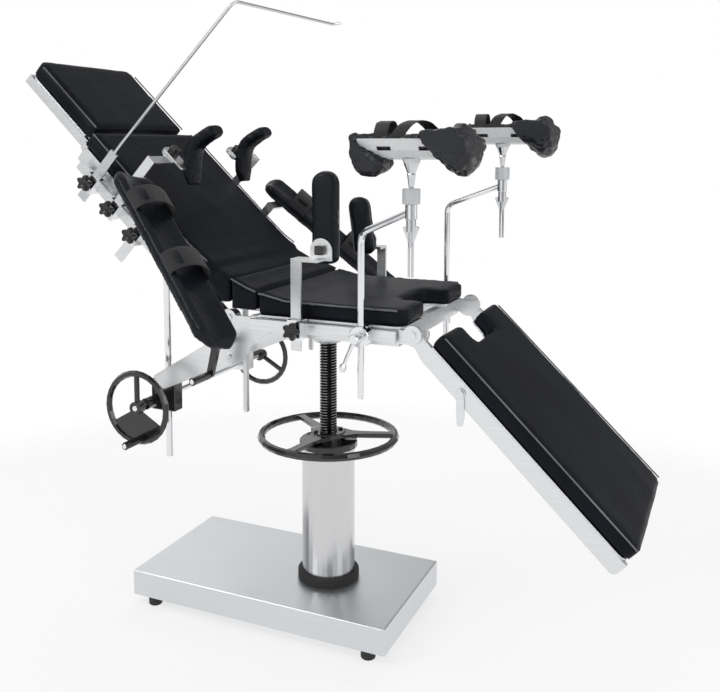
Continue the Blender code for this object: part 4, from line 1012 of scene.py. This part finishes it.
def rim_roll(way):
    """Soft roll along one rim of the shell."""
    angles = [2.0 * math.pi * k / 12 for k in range(12)]
    return [[(x, way * 0.0655 + r * math.cos(q), -0.0170 + r * math.sin(q)) for q in angles]
            for x, r in ((0.048, 0.004), (0.056, 0.0085), (0.090, 0.0105), (0.140, 0.012), (0.160, 0.009))]


ROLL = [(-0.158, -0.010, -52.0, 52.0, 0.0800, 0.012), (-0.152, -0.006, -62.0, 62.0, 0.0835, 0.020),
        (-0.140, -0.002, -66.0, 66.0, 0.0850, 0.028), (-0.125, 0.000, -60.0, 60.0, 0.0855, 0.032),
        (-0.105, 0.000, -48.0, 48.0, 0.0850, 0.030), (-0.085, 0.000, -34.0, 34.0, 0.0840, 0.024),
        (-0.066, 0.000, -22.0, 22.0, 0.0825, 0.012)]
FLAP = [(0.052, 0.000, 66.0, 76.0, 0.0830, 0.000), (0.070, 0.000, 52.0, 77.0, 0.0850, 0.000),
        (0.090, 0.000, 34.0, 77.0, 0.0860, 0.006), (0.108, 0.000, 14.0, 77.0, 0.0860, 0.012),
        (0.124, 0.000, -4.0, 76.0, 0.0860, 0.020), (0.142, -0.002, -8.0, 74.0, 0.0855, 0.026),
        (0.160, -0.004, -8.0, 70.0, 0.0820, 0.026), (0.176, -0.008, -8.0, 62.0, 0.0740, 0.020),
        (0.186, -0.012, -8.0, 50.0, 0.0620, 0.010)]

for tag, side, post_x, foot, turn in TROUGHS:
    node = "leg_trough_pad_" + tag
    body = "leg_rest_" + tag
    stem_x = post_x + POST_REACH * math.cos(math.radians(turn))
    stem_y = side * POST_FROM_MIDDLE + POST_REACH * math.sin(math.radians(turn))
    axis_z = foot + AXIS_ABOVE_STEM

    # The frame's shell, shortened towards its stem
    shell_node = "leg_trough_" + tag
    shell = copy_of(shell_node, NODES[shell_node].data.materials[0], "trough_shell_" + tag)
    co = read(shell.data, "co")
    wall = (co[:, 2] > axis_z - 0.0810) & (abs(co[:, 0] - stem_x) > STEM_HALF)
    co[wall, 0] = stem_x + (co[wall, 0] - stem_x) * SHORTER
    write_back(shell, co)
    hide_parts(shell_node)
    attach(shell, body)

    # The cover, as closed forms that the even mesh joins into one
    groups = [lining(), stuffing(), wrap(ROLL, 0.058)]
    for way in (-1.0, 1.0):
        groups.append([[(x, way * y, z) for x, y, z in ring] for ring in wrap(FLAP, 0.050)])
        groups.append(rim_roll(way))
    place = Matrix.Translation((stem_x, stem_y, axis_z)) @ Matrix.Diagonal((SHORTER, 1.0, 1.0, 1.0))
    bm = bmesh.new()
    for rings in groups:
        skin(bm, rings, place)
    cover = publish(bm, "trough_cover_" + tag, CRINKLED)
    voxelled(cover, 0.004, 2)
    inflated(cover, 0.0040)
    creased(cover, 0.0050, 30.0, 41.0 + side)
    creased(cover, 0.0018, 90.0, 47.0 + side)
    held_in(cover, node, 0.008)
    subdivided(cover)
    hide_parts(node)
    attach(cover, body)

    for number, shift, lean in ((1, -0.078, 0.024), (2, -0.004, -0.058)):
        strap = strap_band("trough_strap_%s_%d" % (tag, number), UPRIGHT, (stem_y, axis_z - 0.0340),
                           0.0640, 0.0470, stem_x + shift, STRAP_WIDTH, 0.0030, lean, 0.0030,
                           50.0 + number + side)
        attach(strap, body)


# Floor, lamps, world and camera
WHITE = (1.0, 1.0, 1.0, 1.0)
FLOOR_HALF = 9.0
LEAST_GLOW = 0.72


def studio_floor():
    """Pale floor that fades into the white background around the object."""
    made, tree, shader, where = material("studio_floor")
    shader.inputs["Base Color"].default_value = (0.93, 0.93, 0.93, 1.0)
    shader.inputs["Roughness"].default_value = 0.75
    shader.inputs["Specular IOR Level"].default_value = 0.2
    reach = tree.nodes.new("ShaderNodeVectorMath")
    reach.operation = "LENGTH"
    tree.links.new(where, reach.inputs[0])
    fade = ranged(tree, reach.outputs["Value"], 0.9, 2.2, 0.0, 1.0)
    path = tree.nodes.new("ShaderNodeLightPath")
    seen = maths(tree, "MAXIMUM", path.outputs["Is Camera Ray"], path.outputs["Is Glossy Ray"])
    seen = maths(tree, "MAXIMUM", seen, path.outputs["Is Transmission Ray"])
    glow = tree.nodes.new("ShaderNodeEmission")
    glow.inputs["Color"].default_value = WHITE
    glow.inputs["Strength"].default_value = 1.0
    blend = tree.nodes.new("ShaderNodeMixShader")
    glowing = maths(tree, "MAXIMUM", fade, LEAST_GLOW)
    tree.links.new(maths(tree, "MULTIPLY", glowing, seen), blend.inputs["Fac"])
    tree.links.new(shader.outputs["BSDF"], blend.inputs[1])
    tree.links.new(glow.outputs["Emission"], blend.inputs[2])
    tree.links.new(blend.outputs["Shader"], tree.nodes["Material Output"].inputs["Surface"])
    mesh = bpy.data.meshes.new("floor")
    corners = [(x * FLOOR_HALF, y * FLOOR_HALF, 0.0) for x, y in ((-1, -1), (1, -1), (1, 1), (-1, 1))]
    mesh.from_pydata(corners, [], [(0, 1, 2, 3)])
    mesh.materials.append(made)
    floor = bpy.data.objects.new("floor", mesh)
    bpy.context.scene.collection.objects.link(floor)


def backdrop(tree, strength):
    """White background shader of the given strength."""
    step = tree.nodes.new("ShaderNodeBackground")
    step.inputs["Color"].default_value = WHITE
    step.inputs["Strength"].default_value = strength
    return step


def studio_world():
    """White to the camera, light and dark bands to reflections, softer light elsewhere."""
    world = bpy.data.worlds.new("studio")
    bpy.context.scene.world = world
    world.use_nodes = True
    tree = world.node_tree
    plain = tree.nodes["Background"]
    plain.inputs["Color"].default_value = WHITE
    plain.inputs["Strength"].default_value = 0.62
    where = tree.nodes.new("ShaderNodeTexCoord").outputs["Generated"]
    split = tree.nodes.new("ShaderNodeSeparateXYZ")
    tree.links.new(where, split.inputs["Vector"])
    around = maths(tree, "ARCTAN2", split.outputs["Y"], split.outputs["X"])
    bands = tree.nodes.new("ShaderNodeMath")
    bands.operation = "SINE"
    tree.links.new(maths(tree, "ADD", maths(tree, "MULTIPLY", around, 3.0), 0.6), bands.inputs[0])
    shade = ranged(tree, bands.outputs["Value"], -0.6, 0.6, 0.30, 1.0)
    mirror = backdrop(tree, 1.0)
    tree.links.new(shade, mirror.inputs["Strength"])
    white = backdrop(tree, 1.0)
    path = tree.nodes.new("ShaderNodeLightPath")
    first = tree.nodes.new("ShaderNodeMixShader")
    bounced = maths(tree, "MAXIMUM", path.outputs["Is Glossy Ray"], path.outputs["Is Transmission Ray"])
    tree.links.new(bounced, first.inputs["Fac"])
    tree.links.new(plain.outputs["Background"], first.inputs[1])
    tree.links.new(mirror.outputs["Background"], first.inputs[2])
    last = tree.nodes.new("ShaderNodeMixShader")
    tree.links.new(path.outputs["Is Camera Ray"], last.inputs["Fac"])
    tree.links.new(first.outputs["Shader"], last.inputs[1])
    tree.links.new(white.outputs["Background"], last.inputs[2])
    tree.links.new(last.outputs["Shader"], tree.nodes["World Output"].inputs["Surface"])


def lamp(name, place, target, size, power, mirrored=True):
    """Soft rectangular lamp aimed at a target; unmirrored, it doesn't show in glossy surfaces."""
    data = bpy.data.lights.new(name, "AREA")
    data.shape = "RECTANGLE"
    data.size, data.size_y = size
    data.energy = power
    made = bpy.data.objects.new(name, data)
    made.location = place
    made.rotation_euler = (Vector(target) - Vector(place)).to_track_quat("-Z", "Y").to_euler()
    made.visible_glossy = mirrored
    bpy.context.scene.collection.objects.link(made)


studio_floor()
studio_world()
lamp("key_lamp", (-2.4, -2.6, 3.4), (0.0, 0.0, 0.7), (1.8, 1.4), 46.0)
lamp("fill_lamp", (3.2, -1.2, 2.2), (0.1, 0.0, 0.8), (1.4, 2.0), 24.0)
lamp("rear_lamp", (-0.6, 3.2, 3.2), (0.0, 0.0, 0.9), (2.4, 1.2), 34.0, False)

# Camera solved from the photo's long straight edges; the shift is a part of what a level camera would need
FRAME_PX = 720.0
FOCAL_PX = 898.0
SENSOR = 36.0
SHIFT = (0.0287, -0.160)
EYE = (1.0773, -2.2801, 1.3568)
AZIMUTH = math.radians(24.572)
PITCH = math.radians(5.505)
camera = bpy.data.cameras.new("camera")
camera.sensor_width = SENSOR
camera.lens = FOCAL_PX * SENSOR / FRAME_PX
camera.shift_x, camera.shift_y = SHIFT
eye = bpy.data.objects.new("camera", camera)
eye.location = EYE
ahead = Vector((-math.sin(AZIMUTH) * math.cos(PITCH), math.cos(AZIMUTH) * math.cos(PITCH), -math.sin(PITCH)))
eye.rotation_euler = ahead.to_track_quat("-Z", "Y").to_euler()
bpy.context.scene.collection.objects.link(eye)
bpy.context.scene.camera = eye
bpy.context.scene.view_settings.view_transform = "Standard"
